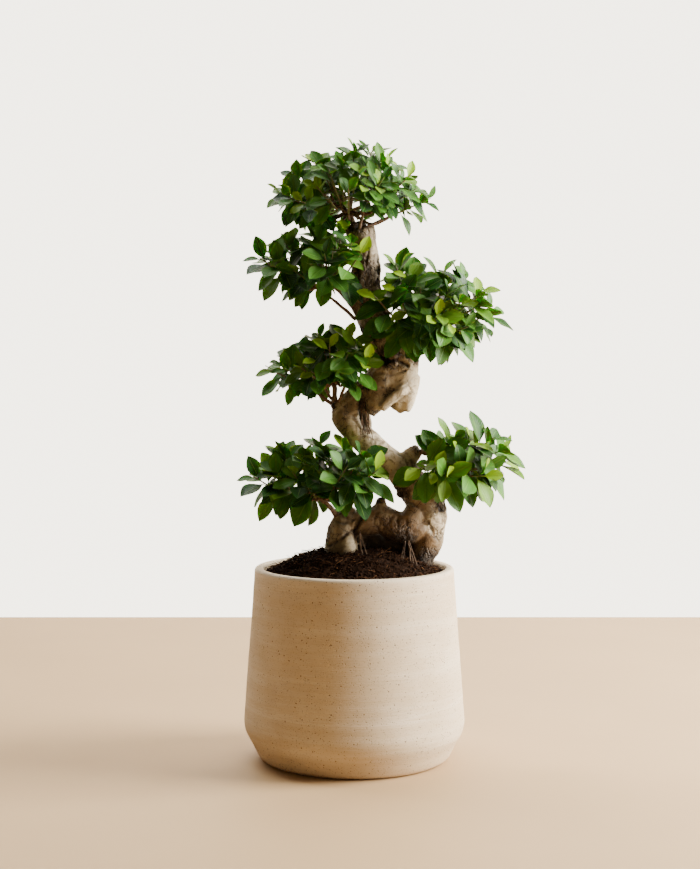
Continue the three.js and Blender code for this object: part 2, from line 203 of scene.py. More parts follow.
class Shading(Wiring):
    """A material's tree, with the patterns that the finishes share."""

    def __init__(self, name: str) -> None:
        """Makes an empty material with a Principled shader.

        Args:
            name: The material's name.
        """
        self.material = bpy.data.materials.new(name)
        self.material.use_nodes = True
        super().__init__(self.material.node_tree)
        self.shader = self.tree.nodes["Principled BSDF"]
        self.place = self.add("ShaderNodeTexCoord").outputs["Object"]

    def stretched(self, scale: Point) -> Socket:
        """Object coordinates scaled by a different amount along each axis."""
        return self.add("ShaderNodeMapping", {"Vector": self.place, "Scale": scale}).outputs["Vector"]

    def grain(
        self, scale: float, detail: float = 4.0, rough: float = 0.55, vector: Any = None, warp: float = 0.0
    ) -> Socket:
        """A noise from 0 to 1, scale times a metre."""
        feeds = {"Vector": vector or self.place, "Scale": scale, "Detail": detail}
        feeds |= {"Roughness": rough, "Distortion": warp}
        return self.add("ShaderNodeTexNoise", feeds).outputs["Fac"]

    def value_of(self, name: str) -> Socket:
        """A value stored on the mesh."""
        return self.add("ShaderNodeAttribute", attribute_name=name).outputs["Fac"]

    def window(
        self, value: Any, low: float, high: float, to_low: float = 0.0, to_high: float = 1.0
    ) -> Socket:
        """A value mapped from one range to another and kept inside it."""
        feeds = {"Value": value, "From Min": low, "From Max": high, "To Min": to_low, "To Max": to_high}
        return self.add("ShaderNodeMapRange", feeds, interpolation_type="SMOOTHSTEP").outputs["Result"]

    def reckon(self, operation: str, a: Any, b: Any = 0.0) -> Socket:
        """The result of one sum."""
        return self.add("ShaderNodeMath", {0: a, 1: b}, operation=operation).outputs[0]

    def blend(self, share: Any, a: Any, b: Any) -> Socket:
        """A colour part way from a to b."""
        a, b = (value if isinstance(value, Socket) else (*value, 1.0) for value in (a, b))
        return self.add("ShaderNodeMix", {0: share, 6: a, 7: b}, data_type="RGBA").outputs[2]

    def relief(self, height: Any, depth: float, strength: float = 1.0, under: Any = None) -> Socket:
        """A surface relief whose height of 1 stands depth metres proud."""
        feeds = {"Height": height, "Distance": depth, "Strength": strength}
        if under is not None:
            feeds["Normal"] = under
        return self.add("ShaderNodeBump", feeds).outputs["Normal"]

    def finish(self, colour: Any, roughness: Any, normal: Any = None, **fixed: float) -> Material:
        """Wires the shader.

        Args:
            colour: A colour's socket.
            roughness: A number or a socket.
            normal: A relief, where there is one.
            fixed: Other values, their names' spaces written as underscores.

        Returns:
            The finished material.
        """
        for name, value in (("Base Color", colour), ("Roughness", roughness), ("Normal", normal)):
            if isinstance(value, Socket):
                self.tree.links.new(value, self.shader.inputs[name])
            elif value is not None:
                self.shader.inputs[name].default_value = value
        for name, value in fixed.items():
            self.shader.inputs[name.replace("_", " ")].default_value = value
        return self.material


@dataclass(frozen=True)
class Stoneware:
    """Unglazed pale clay with iron specks, throwing lines and a few paler bands, and a painted highlight on
    the top of the rim.
    """

    clay: Colour = (0.545, 0.425, 0.275)
    pale: Colour = (0.64, 0.535, 0.385)
    tan: Colour = (0.455, 0.335, 0.20)
    speck: Colour = (0.060, 0.035, 0.018)

    def material(self) -> Material:
        """Builds the finish.

        Returns:
            The material.
        """
        s = Shading("stoneware")
        bands = s.grain(1.0, 5.0, 0.62, s.stretched((3.0, 3.0, 60.0)))
        streaks = s.grain(1.0, 4.0, 0.6, s.stretched((22.0, 22.0, 520.0)))
        clouds = s.grain(16.0, 5.0, 0.62)
        colour = s.blend(s.window(bands, 0.40, 0.66, 0.0, 0.55), self.clay, self.pale)
        colour = s.blend(s.window(clouds, 0.42, 0.72, 0.0, 0.35), colour, self.tan)
        colour = s.blend(s.window(streaks, 0.56, 0.74, 0.0, 0.4), colour, self.tan)
        colour = s.blend(s.window(streaks, 0.42, 0.28, 0.0, 0.5), colour, self.pale)
        height = s.add("ShaderNodeSeparateXYZ", {0: s.place}).outputs["Z"]
        low = s.reckon("ADD", height, s.window(bands, 0.3, 0.7, -0.012, 0.012))
        colour = s.blend(s.window(low, 0.012, 0.05, 0.45, 0.0), colour, self.tan)
        line = s.window(s.reckon("ABSOLUTE", s.reckon("SUBTRACT", low, 0.088)), 0.0, 0.004, 0.6, 0.0)
        colour = s.blend(line, colour, self.pale)
        # Painted highlight: the rounded top of the rim is paler.
        colour = s.blend(s.window(height, 0.262, 0.270, 0.0, 0.6), colour, self.pale)
        kinds = ((130.0, 0.150, 0.56), (250.0, 0.21, 0.45), (520.0, 0.28, 0.42))
        pits = [self.specks(s, *kind) for kind in kinds]
        for pit, share in zip(pits, (0.9, 0.75, 0.6)):
            colour = s.blend(s.reckon("MULTIPLY", pit, share), colour, self.speck)
        pitted = s.reckon("MAXIMUM", pits[0], pits[1])
        fine = s.grain(1500.0, 3.0, 0.7)
        normal = s.relief(streaks, 0.0006, 0.5)
        normal = s.relief(fine, 0.00022, 0.6, normal)
        normal = s.relief(s.reckon("SUBTRACT", 1.0, pitted), 0.0008, 0.8, normal)
        return s.finish(colour, s.window(clouds, 0.3, 0.7, 0.74, 0.9), normal, Specular_IOR_Level=0.3)

    @staticmethod
    def specks(s: Shading, scale: float, size: float, share: float) -> Socket:
        """Small round spots, on a share of the cells of a scattered pattern."""
        cells = s.add("ShaderNodeTexVoronoi", {"Vector": s.place, "Scale": scale})
        spot = s.window(cells.outputs["Distance"], size * 0.6, size, 1.0, 0.0)
        lot = s.add("ShaderNodeSeparateColor", {0: cells.outputs["Color"]}).outputs[0]
        return s.reckon("MULTIPLY", spot, s.window(lot, share, share + 0.05))


@dataclass(frozen=True)
class Bark:
    """Smooth pale ficus bark, darker where it is cracked or rough, with painted shade in its creases, pits
    and folds and under the saddle, and a painted shadow over the saddle and the right foot.
    """

    pale: Colour = (0.40, 0.325, 0.198)
    grey: Colour = (0.165, 0.122, 0.064)
    rust: Colour = (0.165, 0.085, 0.032)
    crust: Colour = (0.058, 0.031, 0.014)
    dark: Colour = (0.012, 0.007, 0.004)
    peeled: Colour = (0.58, 0.485, 0.325)
    shadow_tone: Colour = (0.135, 0.075, 0.028)

    def material(self) -> Material:
        """Builds the finish from the painted shade, rough, peeled and painted shadow values on the mesh.

        Returns:
            The material.
        """
        s = Shading("trunk_bark")
        clouds = s.grain(17.0, 5.0, 0.62, warp=0.8)
        blotches = s.grain(70.0, 6.0, 0.68, warp=1.0)
        flecks = s.grain(380.0, 4.0, 0.72)
        names = ("rough", "painted_shade", "peeled", "shadowed")
        rough, painted_shade, peeled, shadowed = (s.value_of(name) for name in names)
        tall = s.stretched((1.0, 1.0, 0.45))
        uneven = {0: tall, 1: self.wander(s, 90.0, 3.0, 0.012)}
        plates = s.add("ShaderNodeVectorMath", uneven, operation="ADD").outputs[0]
        seams = s.add("ShaderNodeTexVoronoi", {"Vector": plates, "Scale": 125.0}, feature="DISTANCE_TO_EDGE")
        seam = s.window(seams.outputs["Distance"], 0.02, 0.16, 1.0, 0.0)
        colour = s.blend(s.window(clouds, 0.40, 0.60), self.pale, self.grey)
        colour = s.blend(s.window(blotches, 0.50, 0.64, 0.0, 0.8), colour, self.grey)
        colour = s.blend(s.window(blotches, 0.43, 0.32, 0.0, 0.55), colour, self.pale)
        colour = s.blend(s.window(flecks, 0.54, 0.66, 0.0, 0.6), colour, self.rust)
        # Painted shadow: a warm brown darkening over the saddle, its peak and the base of the right foot.
        shadow_share = s.reckon("MULTIPLY", shadowed, s.window(clouds, 0.30, 0.62, 0.55, 1.0))
        colour = s.blend(shadow_share, colour, self.shadow_tone)
        scuffed = s.reckon("MULTIPLY", peeled, s.window(blotches, 0.58, 0.46))
        colour = s.blend(scuffed, colour, self.peeled)
        crusty = s.reckon("MULTIPLY", rough, s.window(blotches, 0.36, 0.52, 0.45, 1.0))
        colour = s.blend(crusty, colour, self.crust)
        rusty = s.reckon("MULTIPLY", rough, s.window(flecks, 0.50, 0.68, 0.0, 0.6))
        colour = s.blend(rusty, colour, self.rust)
        colour = s.blend(s.reckon("MULTIPLY", rough, s.reckon("MULTIPLY", seam, 0.75)), colour, self.dark)
        cracked = s.window(self.hairs(s), 0.006, 0.028, 0.75, 0.0)
        hair = s.reckon("MULTIPLY", cracked, s.window(clouds, 0.38, 0.55))
        colour = s.blend(hair, colour, self.dark)
        # Painted shade: near black in the creases, pits and sunken places, under the saddle's arch, and
        # darker towards the soil line.
        colour = s.blend(painted_shade, colour, self.dark)
        normal = s.relief(blotches, 0.0035, 0.6)
        normal = s.relief(flecks, 0.0008, 0.7, normal)
        normal = s.relief(s.reckon("SUBTRACT", 1.0, hair), 0.0010, 0.7, normal)
        crags = s.reckon("MULTIPLY", rough, s.reckon("SUBTRACT", blotches, seam))
        normal = s.relief(crags, 0.0045, 0.9, normal)
        return s.finish(colour, s.window(blotches, 0.3, 0.7, 0.52, 0.82), normal, Specular_IOR_Level=0.35)

    @staticmethod
    def wander(s: Shading, scale: float, detail: float, most: float) -> Socket:
        """A small shift from place to place, which keeps a pattern from being straight-edged.

        Args:
            s: The bark's tree.
            scale: How many times it changes in a metre.
            detail: How much finer it goes.
            most: The longest shift, in metres.

        Returns:
            The shift.
        """
        swirl = s.add("ShaderNodeTexNoise", {"Vector": s.place, "Scale": scale, "Detail": detail})
        feeds = {0: swirl.outputs["Color"], "Scale": most}
        return s.add("ShaderNodeVectorMath", feeds, operation="SCALE").outputs[0]

    def hairs(self, s: Shading) -> Socket:
        """Hair cracks in the smooth bark.

        Args:
            s: The bark's tree.

        Returns:
            The distance from the nearest crack.
        """
        feeds = {0: s.place, 1: self.wander(s, 45.0, 4.0, 0.05)}
        place = s.add("ShaderNodeVectorMath", feeds, operation="ADD").outputs[0]
        cells = s.add("ShaderNodeTexVoronoi", {"Vector": place, "Scale": 34.0}, feature="DISTANCE_TO_EDGE")
        return cells.outputs["Distance"]


@dataclass(frozen=True)
class TwigBark:
    """Thin reddish-brown bark of the young wood."""

    light: Colour = (0.19, 0.115, 0.065)
    dark: Colour = (0.06, 0.033, 0.018)

    def material(self, name: str = "twig_bark") -> Material:
        """Builds the finish."""
        s = Shading(name)
        streaks = s.grain(240.0, 4.0, 0.65)
        colour = s.blend(s.window(streaks, 0.35, 0.65), self.dark, self.light)
        return s.finish(colour, 0.7, s.relief(streaks, 0.0006, 0.8), Specular_IOR_Level=0.3)


@dataclass(frozen=True)
class Earth:
    """Dark fibrous peat. Each crumb or fibre has its own tone on the mesh."""

    black: Colour = (0.006, 0.0035, 0.002)
    brown: Colour = (0.032, 0.0125, 0.0045)
    straw: Colour = (0.17, 0.078, 0.032)

    def material(self) -> Material:
        """Builds the finish from the tone on the mesh.

        Returns:
            The material.
        """
        s = Shading("potting_soil")
        tone = s.value_of("tone")
        crumbs = s.grain(500.0, 4.0, 0.7)
        colour = s.blend(s.window(crumbs, 0.35, 0.7), self.black, self.brown)
        colour = s.blend(s.window(tone, 0.35, 0.75, 0.0, 0.6), colour, self.brown)
        colour = s.blend(s.window(tone, 0.80, 1.0), colour, self.straw)
        return s.finish(colour, 0.95, s.relief(crumbs, 0.0012, 0.9), Specular_IOR_Level=0.07)


@dataclass(frozen=True)
class Leaf:
    """Leathery glossy leaf with a pale midrib, faint side veins and a dull underside."""

    old: Colour = (0.012, 0.046, 0.007)
    green: Colour = (0.048, 0.144, 0.013)
    young: Colour = (0.190, 0.330, 0.006)
    under: Colour = (0.065, 0.130, 0.016)
    rib: Colour = (0.130, 0.250, 0.035)

    def material(self) -> Material:
        """Builds the finish from the tone, youth and side of each leaf, with more young leaves on the lit
        right side as painted light.

        Returns:
            The material.
        """
        s = Shading("foliage")
        tone, youth_and_light, under = (s.value_of(name) for name in ("tone", "youth_and_light", "under"))
        place = s.add("ShaderNodeUVMap", uv_map="blade").outputs[0]
        across, along, _ = s.add("ShaderNodeSeparateXYZ", {0: place}).outputs
        off_rib = s.reckon("ABSOLUTE", s.reckon("SUBTRACT", across, 0.5))
        clouds = s.grain(70.0, 3.0, 0.6)
        freshness = s.reckon("ADD", tone, s.reckon("MULTIPLY", clouds, 0.5))
        colour = s.blend(s.window(freshness, 0.35, 1.1), self.old, self.green)
        # Young yellow-green leaves, placed more on the lit side: partly painted light.
        colour = s.blend(s.window(youth_and_light, 0.25, 1.0), colour, self.young)
        slant = s.reckon("SUBTRACT", along, s.reckon("MULTIPLY", off_rib, 0.55))
        veins = s.reckon("SINE", s.reckon("MULTIPLY", slant, 75.0))
        vein = s.reckon("MULTIPLY", s.window(veins, 0.75, 1.0), s.window(off_rib, 0.03, 0.08))
        colour = s.blend(s.reckon("MULTIPLY", vein, 0.16), colour, self.rib)
        colour = s.blend(s.reckon("MULTIPLY", under, 0.85), colour, self.under)
        rib = s.window(off_rib, 0.010, 0.030, 0.6, 0.0)
        colour = s.blend(rib, colour, self.rib)
        roughness = s.reckon("ADD", s.window(clouds, 0.3, 0.7, 0.36, 0.50), s.reckon("MULTIPLY", under, 0.25))
        height = s.reckon("ADD", s.reckon("MULTIPLY", vein, -0.5), s.window(off_rib, 0.0, 0.06, -1.0, 0.0))
        normal = s.relief(height, 0.0006, 0.55)
        s.shader.inputs["Subsurface Radius"].default_value = (0.25, 1.0, 0.06)
        fixed = {"Specular_IOR_Level": 0.17, "Subsurface_Weight": 0.08, "Subsurface_Scale": 0.0015}
        return s.finish(colour, roughness, normal, **fixed)


@dataclass(frozen=True)
class GreenStem:
    """Green-brown skin of the leafy stems and the buds."""

    green: Colour = (0.11, 0.16, 0.035)
    brown: Colour = (0.13, 0.075, 0.035)

    def material(self) -> Material:
        """Builds the finish."""
        s = Shading("green_stem")
        colour = s.blend(s.window(s.grain(300.0), 0.4, 0.6), self.green, self.brown)
        return s.finish(colour, 0.5)


@dataclass(frozen=True)
class StudioFloor:
    """Plain pale floor, a little warm."""

    name: str = "studio_floor"
    colour: Colour = (0.43, 0.282, 0.142)

    def material(self) -> Material:
        """Builds the finish."""
        s = Shading(self.name)
        shade = s.window(s.grain(3.0), 0.3, 0.7)
        lighter = tuple(c * 1.05 for c in self.colour)
        return s.finish(s.blend(shade, self.colour, lighter), 0.6, Specular_IOR_Level=0.3)


@dataclass
class Palette:
    """The finishes, built once and shared."""

    stoneware: Material = field(default_factory=lambda: Stoneware().material())
    bark: Material = field(default_factory=lambda: Bark().material())
    twig: Material = field(default_factory=lambda: TwigBark().material())
    root: Material = field(
        default_factory=lambda: TwigBark((0.15, 0.088, 0.045), (0.045, 0.025, 0.013)).material("root_bark")
    )
    earth: Material = field(default_factory=lambda: Earth().material())
    leaf: Material = field(default_factory=lambda: Leaf().material())
    stem: Material = field(default_factory=lambda: GreenStem().material())


# ---- routes


class Route:
    """The smooth line through the stations of a limb, with its radius all the way along."""

    def __init__(self, stations: Sequence[Station], steps: int) -> None:
        """Samples the line.

        Args:
            stations: The places that it goes through.
            steps: How many samples lie between each two of them.
        """
        self.stations = np.array(stations, float)
        self.spans = len(stations) - 1
        count = self.spans * steps
        self.points = np.array([self.at(i / count) for i in range(count + 1)])
        share = np.arange(count + 1) / steps
        span = np.minimum(share.astype(int), self.spans - 1)
        near, far = self.stations[span, 3], self.stations[span + 1, 3]
        self.radii = near + (far - near) * (share - span)

    def at(self, t: float) -> np.ndarray:
        """A point of the centripetal Catmull-Rom line.

        Args:
            t: The share of the way along, from 0 to 1.

        Returns:
            The point, in millimetres.
        """
        line = self.stations[:, :3]
        place = self.spans * t
        first = min(int(place), self.spans - 1)
        weight = place - first
        b, c = line[first], line[first + 1]
        a = line[first - 1] if first > 0 else 2 * line[0] - line[1]
        d = line[first + 2] if first + 2 <= self.spans else 2 * line[-1] - line[-2]
        before, within, after = (np.linalg.norm(q - p) ** 0.5 for p, q in ((a, b), (b, c), (c, d)))
        leave = ((b - a) / before - (c - a) / (before + within) + (c - b) / within) * within
        arrive = ((c - b) / within - (d - b) / (within + after) + (d - c) / after) * within
        square, cube = weight * weight, weight**3
        ends = b * (2 * cube - 3 * square + 1) + c * (3 * square - 2 * cube)
        return ends + leave * (cube - 2 * square + weight) + arrive * (cube - square)

    def directions(self) -> np.ndarray:
        """The direction of travel at each point."""
        steps = np.gradient(self.points, axis=0)
        return steps / np.linalg.norm(steps, axis=1)[:, None]

    def tube(self, sides: int) -> tuple[np.ndarray, list[tuple[int, ...]]]:
        """A closed tube along the line.

        Args:
            sides: The number of corners in each ring.

        Returns:
            Its points and faces.
        """
        rings = []
        across = np.array([0.0, 1.0, 0.0])
        turns = np.arange(sides) * 2 * math.pi / sides
        for point, radius, along in zip(self.points, self.radii, self.directions()):
            across = unit(across - along * across.dot(along))
            other = np.cross(along, across)
            rings.append(point + radius * (np.outer(np.cos(turns), across) + np.outer(np.sin(turns), other)))
        faces: list[tuple[int, ...]] = []
        for ring in range(len(rings) - 1):
            for i in range(sides):
                j = (i + 1) % sides
                low, high = ring * sides, (ring + 1) * sides
                faces.append((low + i, low + j, high + j, high + i))
        faces.append(tuple(range(sides))[::-1])
        faces.append(tuple(len(rings) * sides - sides + i for i in range(sides)))
        return np.vstack(rings), faces


@dataclass
class Strands:
    """Several lines in one mesh, which Geometry Nodes turn into round tubes."""

    points: list[np.ndarray] = field(default_factory=list)
    radii: list[float] = field(default_factory=list)
    edges: list[tuple[int, int]] = field(default_factory=list)

    def lay(self, points: np.ndarray, radii: Sequence[float]) -> None:
        """Adds one line."""
        start = len(self.points)
        self.points.extend(points)
        self.radii.extend(radii)
        self.edges.extend((start + i, start + i + 1) for i in range(len(points) - 1))


# ---- geometry node trees


class Recipe(Wiring):
    """A Geometry Nodes tree with one geometry in, one out, and named inputs for its sizes."""

    def __init__(self, name: str, inputs: dict[str, tuple[str, Any]]) -> None:
        """Makes the tree's sockets.

        Args:
            name: The tree's name.
            inputs: For each input, its socket type and its usual value.
        """
        super().__init__(bpy.data.node_groups.new(name, "GeometryNodeTree"))
        self.tree.is_modifier = True
        self.tree.interface.new_socket(name="Geometry", in_out="INPUT", socket_type="NodeSocketGeometry")
        self.tree.interface.new_socket(name="Geometry", in_out="OUTPUT", socket_type="NodeSocketGeometry")
        self.identifiers = {}
        for label, (kind, value) in inputs.items():
            socket = self.tree.interface.new_socket(name=label, in_out="INPUT", socket_type=kind)
            if value is not None:
                socket.default_value = value
            self.identifiers[label] = socket.identifier
        self.given = self.tree.nodes.new("NodeGroupInput").outputs

    def stored(self, name: str, kind: str = "FLOAT") -> Socket:
        """A value stored on the geometry."""
        node = self.add("GeometryNodeInputNamedAttribute", {"Name": name}, data_type=kind)
        return node.outputs["Attribute"]

    def random(self, low: Any, high: Any, seed: Any, kind: str = "FLOAT") -> Socket:
        """A random value for each element."""
        first = {"FLOAT_VECTOR": 0, "FLOAT": 2, "INT": 4}[kind]
        feeds = {first: low, first + 1: high, "Seed": seed}
        node = self.add("FunctionNodeRandomValue", feeds, data_type=kind)
        return node.outputs[first // 2]

    def close(self, geometry: Socket, smooth: bool = True) -> None:
        """Joins the last geometry to the tree's way out."""
        shaded = self.add("GeometryNodeSetShadeSmooth", {"Geometry": geometry, "Shade Smooth": smooth})
        self.add("NodeGroupOutput", {"Geometry": shaded.outputs[0]})

    def dressed(self, geometry: Any, material: Any) -> Socket:
        """Real geometry with a finish on it."""
        real = self.add("GeometryNodeRealizeInstances", {"Geometry": geometry}).outputs[0]
        return self.add("GeometryNodeSetMaterial", {"Geometry": real, "Material": material}).outputs[0]

    def apply(self, obj: Object, **values: Any) -> Object:
        """Runs the tree on an object and leaves the result as its plain mesh.

        Args:
            obj: The object whose mesh goes in.
            values: A value for each input, its name's spaces written as underscores.

        Returns:
            The same object.
        """
        modifier = obj.modifiers.new(self.tree.name, "NODES")
        modifier.node_group = self.tree
        for label, value in values.items():
            modifier[self.identifiers[label.replace("_", " ")]] = value
        freeze(obj)
        return obj


def tubes_of(recipe: Recipe, geometry: Any, sides: Any) -> Socket:
    """Round tubes along the edges of a geometry, as thick as its girth value."""
    curve = recipe.add("GeometryNodeMeshToCurve", {"Mesh": geometry}).outputs[0]
    section = recipe.add("GeometryNodeCurvePrimitiveCircle", {"Resolution": sides, "Radius": 1.0}).outputs[0]
    feeds = {"Curve": curve, "Profile Curve": section, "Scale": recipe.stored("girth"), "Fill Caps": True}
    return recipe.add("GeometryNodeCurveToMesh", feeds).outputs[0]


def strand_recipe() -> Recipe:
    """A tree that turns lines into tubes."""
    r = Recipe("strands", {"Sides": ("NodeSocketInt", 8), "Finish": ("NodeSocketMaterial", None)})
    r.close(r.dressed(tubes_of(r, r.given["Geometry"], r.given["Sides"]), r.given["Finish"]))
    return r


def shoot_recipe(blades: int) -> Recipe:
    """A tree that sets a blade on each loose point and a stem along the edges.

    Args:
        blades: How many blade patterns there are.

    Returns:
        The tree, with one object input for each pattern.
    """
    patterns = [f"Blade {i + 1}" for i in range(blades)]
    sockets = {label: ("NodeSocketObject", None) for label in patterns}
    sockets |= {"Leaf Finish": ("NodeSocketMaterial", None), "Stem Finish": ("NodeSocketMaterial", None)}
    r = Recipe("leafy_shoot", sockets)
    feeds = {"Geometry": r.given["Geometry"], "Selection": r.stored("is_leaf", "BOOLEAN")}
    split = r.add("GeometryNodeSeparateGeometry", feeds, domain="POINT")
    choices = r.add("GeometryNodeGeometryToInstance")
    for label in reversed(patterns):
        pattern = r.add("GeometryNodeObjectInfo", {"Object": r.given[label]}, transform_space="ORIGINAL")
        r.tree.links.new(pattern.outputs["Geometry"], choices.inputs[0])
    feeds = {
        "Points": split.outputs["Selection"],
        "Instance": choices.outputs[0],
        "Pick Instance": True,
        "Instance Index": r.stored("pattern", "INT"),
        "Rotation": r.stored("turn", "QUATERNION"),
        "Scale": r.stored("size", "FLOAT_VECTOR"),
    }
    leaves = r.dressed(r.add("GeometryNodeInstanceOnPoints", feeds).outputs[0], r.given["Leaf Finish"])
    stem = r.dressed(tubes_of(r, split.outputs["Inverted"], 6), r.given["Stem Finish"])
    both = r.add("GeometryNodeJoinGeometry")
    for part in (stem, leaves):
        r.tree.links.new(part, both.inputs[0])
    r.close(both.outputs[0])
    return r


def scatter_recipe() -> Recipe:
    """A tree that scatters copies of a pattern over a surface, each with its own tone.

    Returns:
        The tree. The surface itself isn't kept.
    """
    sockets = {
        "Crumb": ("NodeSocketObject", None),
        "Density": ("NodeSocketFloat", 1000.0),
        "Smallest": ("NodeSocketFloat", 1.0),
        "Largest": ("NodeSocketFloat", 2.0),
        "Palest": ("NodeSocketFloat", 1.0),
        "Tilt": ("NodeSocketFloat", 3.14),
        "Seed": ("NodeSocketInt", 1),
        "Finish": ("NodeSocketMaterial", None),
    }
    r = Recipe("scatter", sockets)
    spread = {"Mesh": r.given["Geometry"], "Density": r.given["Density"], "Seed": r.given["Seed"]}
    points = r.add("GeometryNodeDistributePointsOnFaces", spread).outputs["Points"]
    store = {"Geometry": points, "Name": "tone", "Value": r.random(0.0, r.given["Palest"], r.given["Seed"])}
    points = r.add("GeometryNodeStoreNamedAttribute", store, data_type="FLOAT", domain="POINT").outputs[0]
    lean = r.add("ShaderNodeCombineXYZ", {0: r.given["Tilt"], 1: r.given["Tilt"], 2: math.tau}).outputs[0]
    euler = r.random((0.0, 0.0, 0.0), lean, 7, "FLOAT_VECTOR")
    turn = r.add("FunctionNodeEulerToRotation", {0: euler}).outputs[0]
    size = r.random(r.given["Smallest"], r.given["Largest"], 11)
    crumb = r.add("GeometryNodeObjectInfo", {"Object": r.given["Crumb"]}, transform_space="ORIGINAL")
    feeds = {"Points": points, "Instance": crumb.outputs["Geometry"], "Rotation": turn, "Scale": size}
    crumbs = r.add("GeometryNodeInstanceOnPoints", feeds).outputs[0]
    r.close(r.dressed(crumbs, r.given["Finish"]))
    return r


# ---- pot


@dataclass
class Pot:
    """The thrown pot: a wall that narrows to a rounded rim, and a low belly over a sloping foot."""

    height: float = 271.0
    rim_radius: float = 140.0
    belly_radius: float = 155.5
    belly_height: float = 56.0
    foot_radius: float = 121.0
    wall: float = 13.0
    floor: float = 16.0
    lip: float = 5.0
    segments: int = 192

    def inner_radius(self, z: float) -> float:
        """The wall's inner radius at a height above the belly."""
        t = (z - self.belly_height) / (self.height - self.lip - self.belly_height)
        return mix(self.belly_radius, self.rim_radius, t) - self.wall

    def outline(self) -> list[Flat]:
        """The section of the wall.

        Returns:
            Its radius and height from the centre of the underside, out and over the rim, to the centre of
            the floor.
        """
        rim, belly, foot = self.rim_radius, self.belly_radius, self.foot_radius
        top = self.height - self.lip
        rows = [(0.0, 0.0), (foot * 0.5, 0.0), (foot, 0.0)]
        rows += self.curve((foot, 0.0), (foot + 9, 0.0), (foot + 15, 8.0), 5)
        rows += self.straight((foot + 15, 8.0), (belly - 9, self.belly_height - 27), 3)
        bend = (belly + 0.5, self.belly_height - 14)
        rows += self.curve((belly - 9, self.belly_height - 27), bend, (belly, self.belly_height), 8)
        rows += self.straight((belly, self.belly_height), (rim, top), 56)
        rows += self.curve((rim, top), (rim - 0.3, self.height), (rim - self.lip, self.height), 6)
        inner = rim - self.wall
        rows += self.straight((rim - self.lip, self.height), (inner + self.lip, self.height), 2)
        rows += self.curve((inner + self.lip, self.height), (inner, self.height), (inner, top), 6)
        rows += self.straight((inner, top), (belly - self.wall, self.belly_height + 2), 12)
        low = (belly - self.wall, self.belly_height - 24)
        rows += self.curve((belly - self.wall, self.belly_height + 2), low, (foot, self.floor), 6)
        return rows + [(foot * 0.5, self.floor), (0.0, self.floor)]

    @staticmethod
    def straight(a: Flat, b: Flat, steps: int) -> list[Flat]:
        """Points on a straight line after its start."""
        return [(mix(a[0], b[0], i / steps), mix(a[1], b[1], i / steps)) for i in range(1, steps + 1)]

    @staticmethod
    def curve(a: Flat, b: Flat, c: Flat, steps: int) -> list[Flat]:
        """Points on a quadratic curve.

        Args:
            a: Its start.
            b: The point that bends it.
            c: Its end.
            steps: How many points.

        Returns:
            The points after its start.
        """
        rows = []
        for i in range(1, steps + 1):
            t = i / steps
            rows.append(tuple((1 - t) ** 2 * p + 2 * t * (1 - t) * q + t * t * r for p, q, r in zip(a, b, c)))
        return rows

    def build(self, palette: Palette) -> Object:
        """Turns the section and gives the wall its faint throwing ridges.

        Args:
            palette: The finishes.

        Returns:
            The pot.
        """
        rows = self.outline()
        points = [(0.0, 0.0, 0.0)]
        for radius, z in rows[1:-1]:
            for i in range(self.segments):
                angle = i * math.tau / self.segments
                ridge = self.ridge(angle, z) if z > 10 else 0.0
                points.append(((radius + ridge) * math.cos(angle), (radius + ridge) * math.sin(angle), z))
        points.append((0.0, 0.0, self.floor))
        faces: list[tuple[int, ...]] = []
        last = len(points) - 1
        for row in range(len(rows) - 3):
            low, high = 1 + row * self.segments, 1 + (row + 1) * self.segments
            for i in range(self.segments):
                j = (i + 1) % self.segments
                faces.append((low + i, low + j, high + j, high + i))
        for i in range(self.segments):
            j = (i + 1) % self.segments
            faces.append((0, 1 + j, 1 + i))
            faces.append((last - self.segments + i, last - self.segments + j, last))
        return settle(mesh_object("stoneware_pot", np.array(points), faces), palette.stoneware)

    @staticmethod
    def ridge(angle: float, z: float) -> float:
        """How far the clay stands in or out from a true turned surface."""
        around = Vector((math.cos(angle), math.sin(angle), 0.0))
        throwing = noise.noise(around * 0.5 + Vector((0.0, 0.0, z * 0.085)))
        slow = noise.noise(around * 0.9 + Vector((5.0, 0.0, z * 0.012)))
        return 0.32 * throwing + 0.45 * slow


# ---- soil


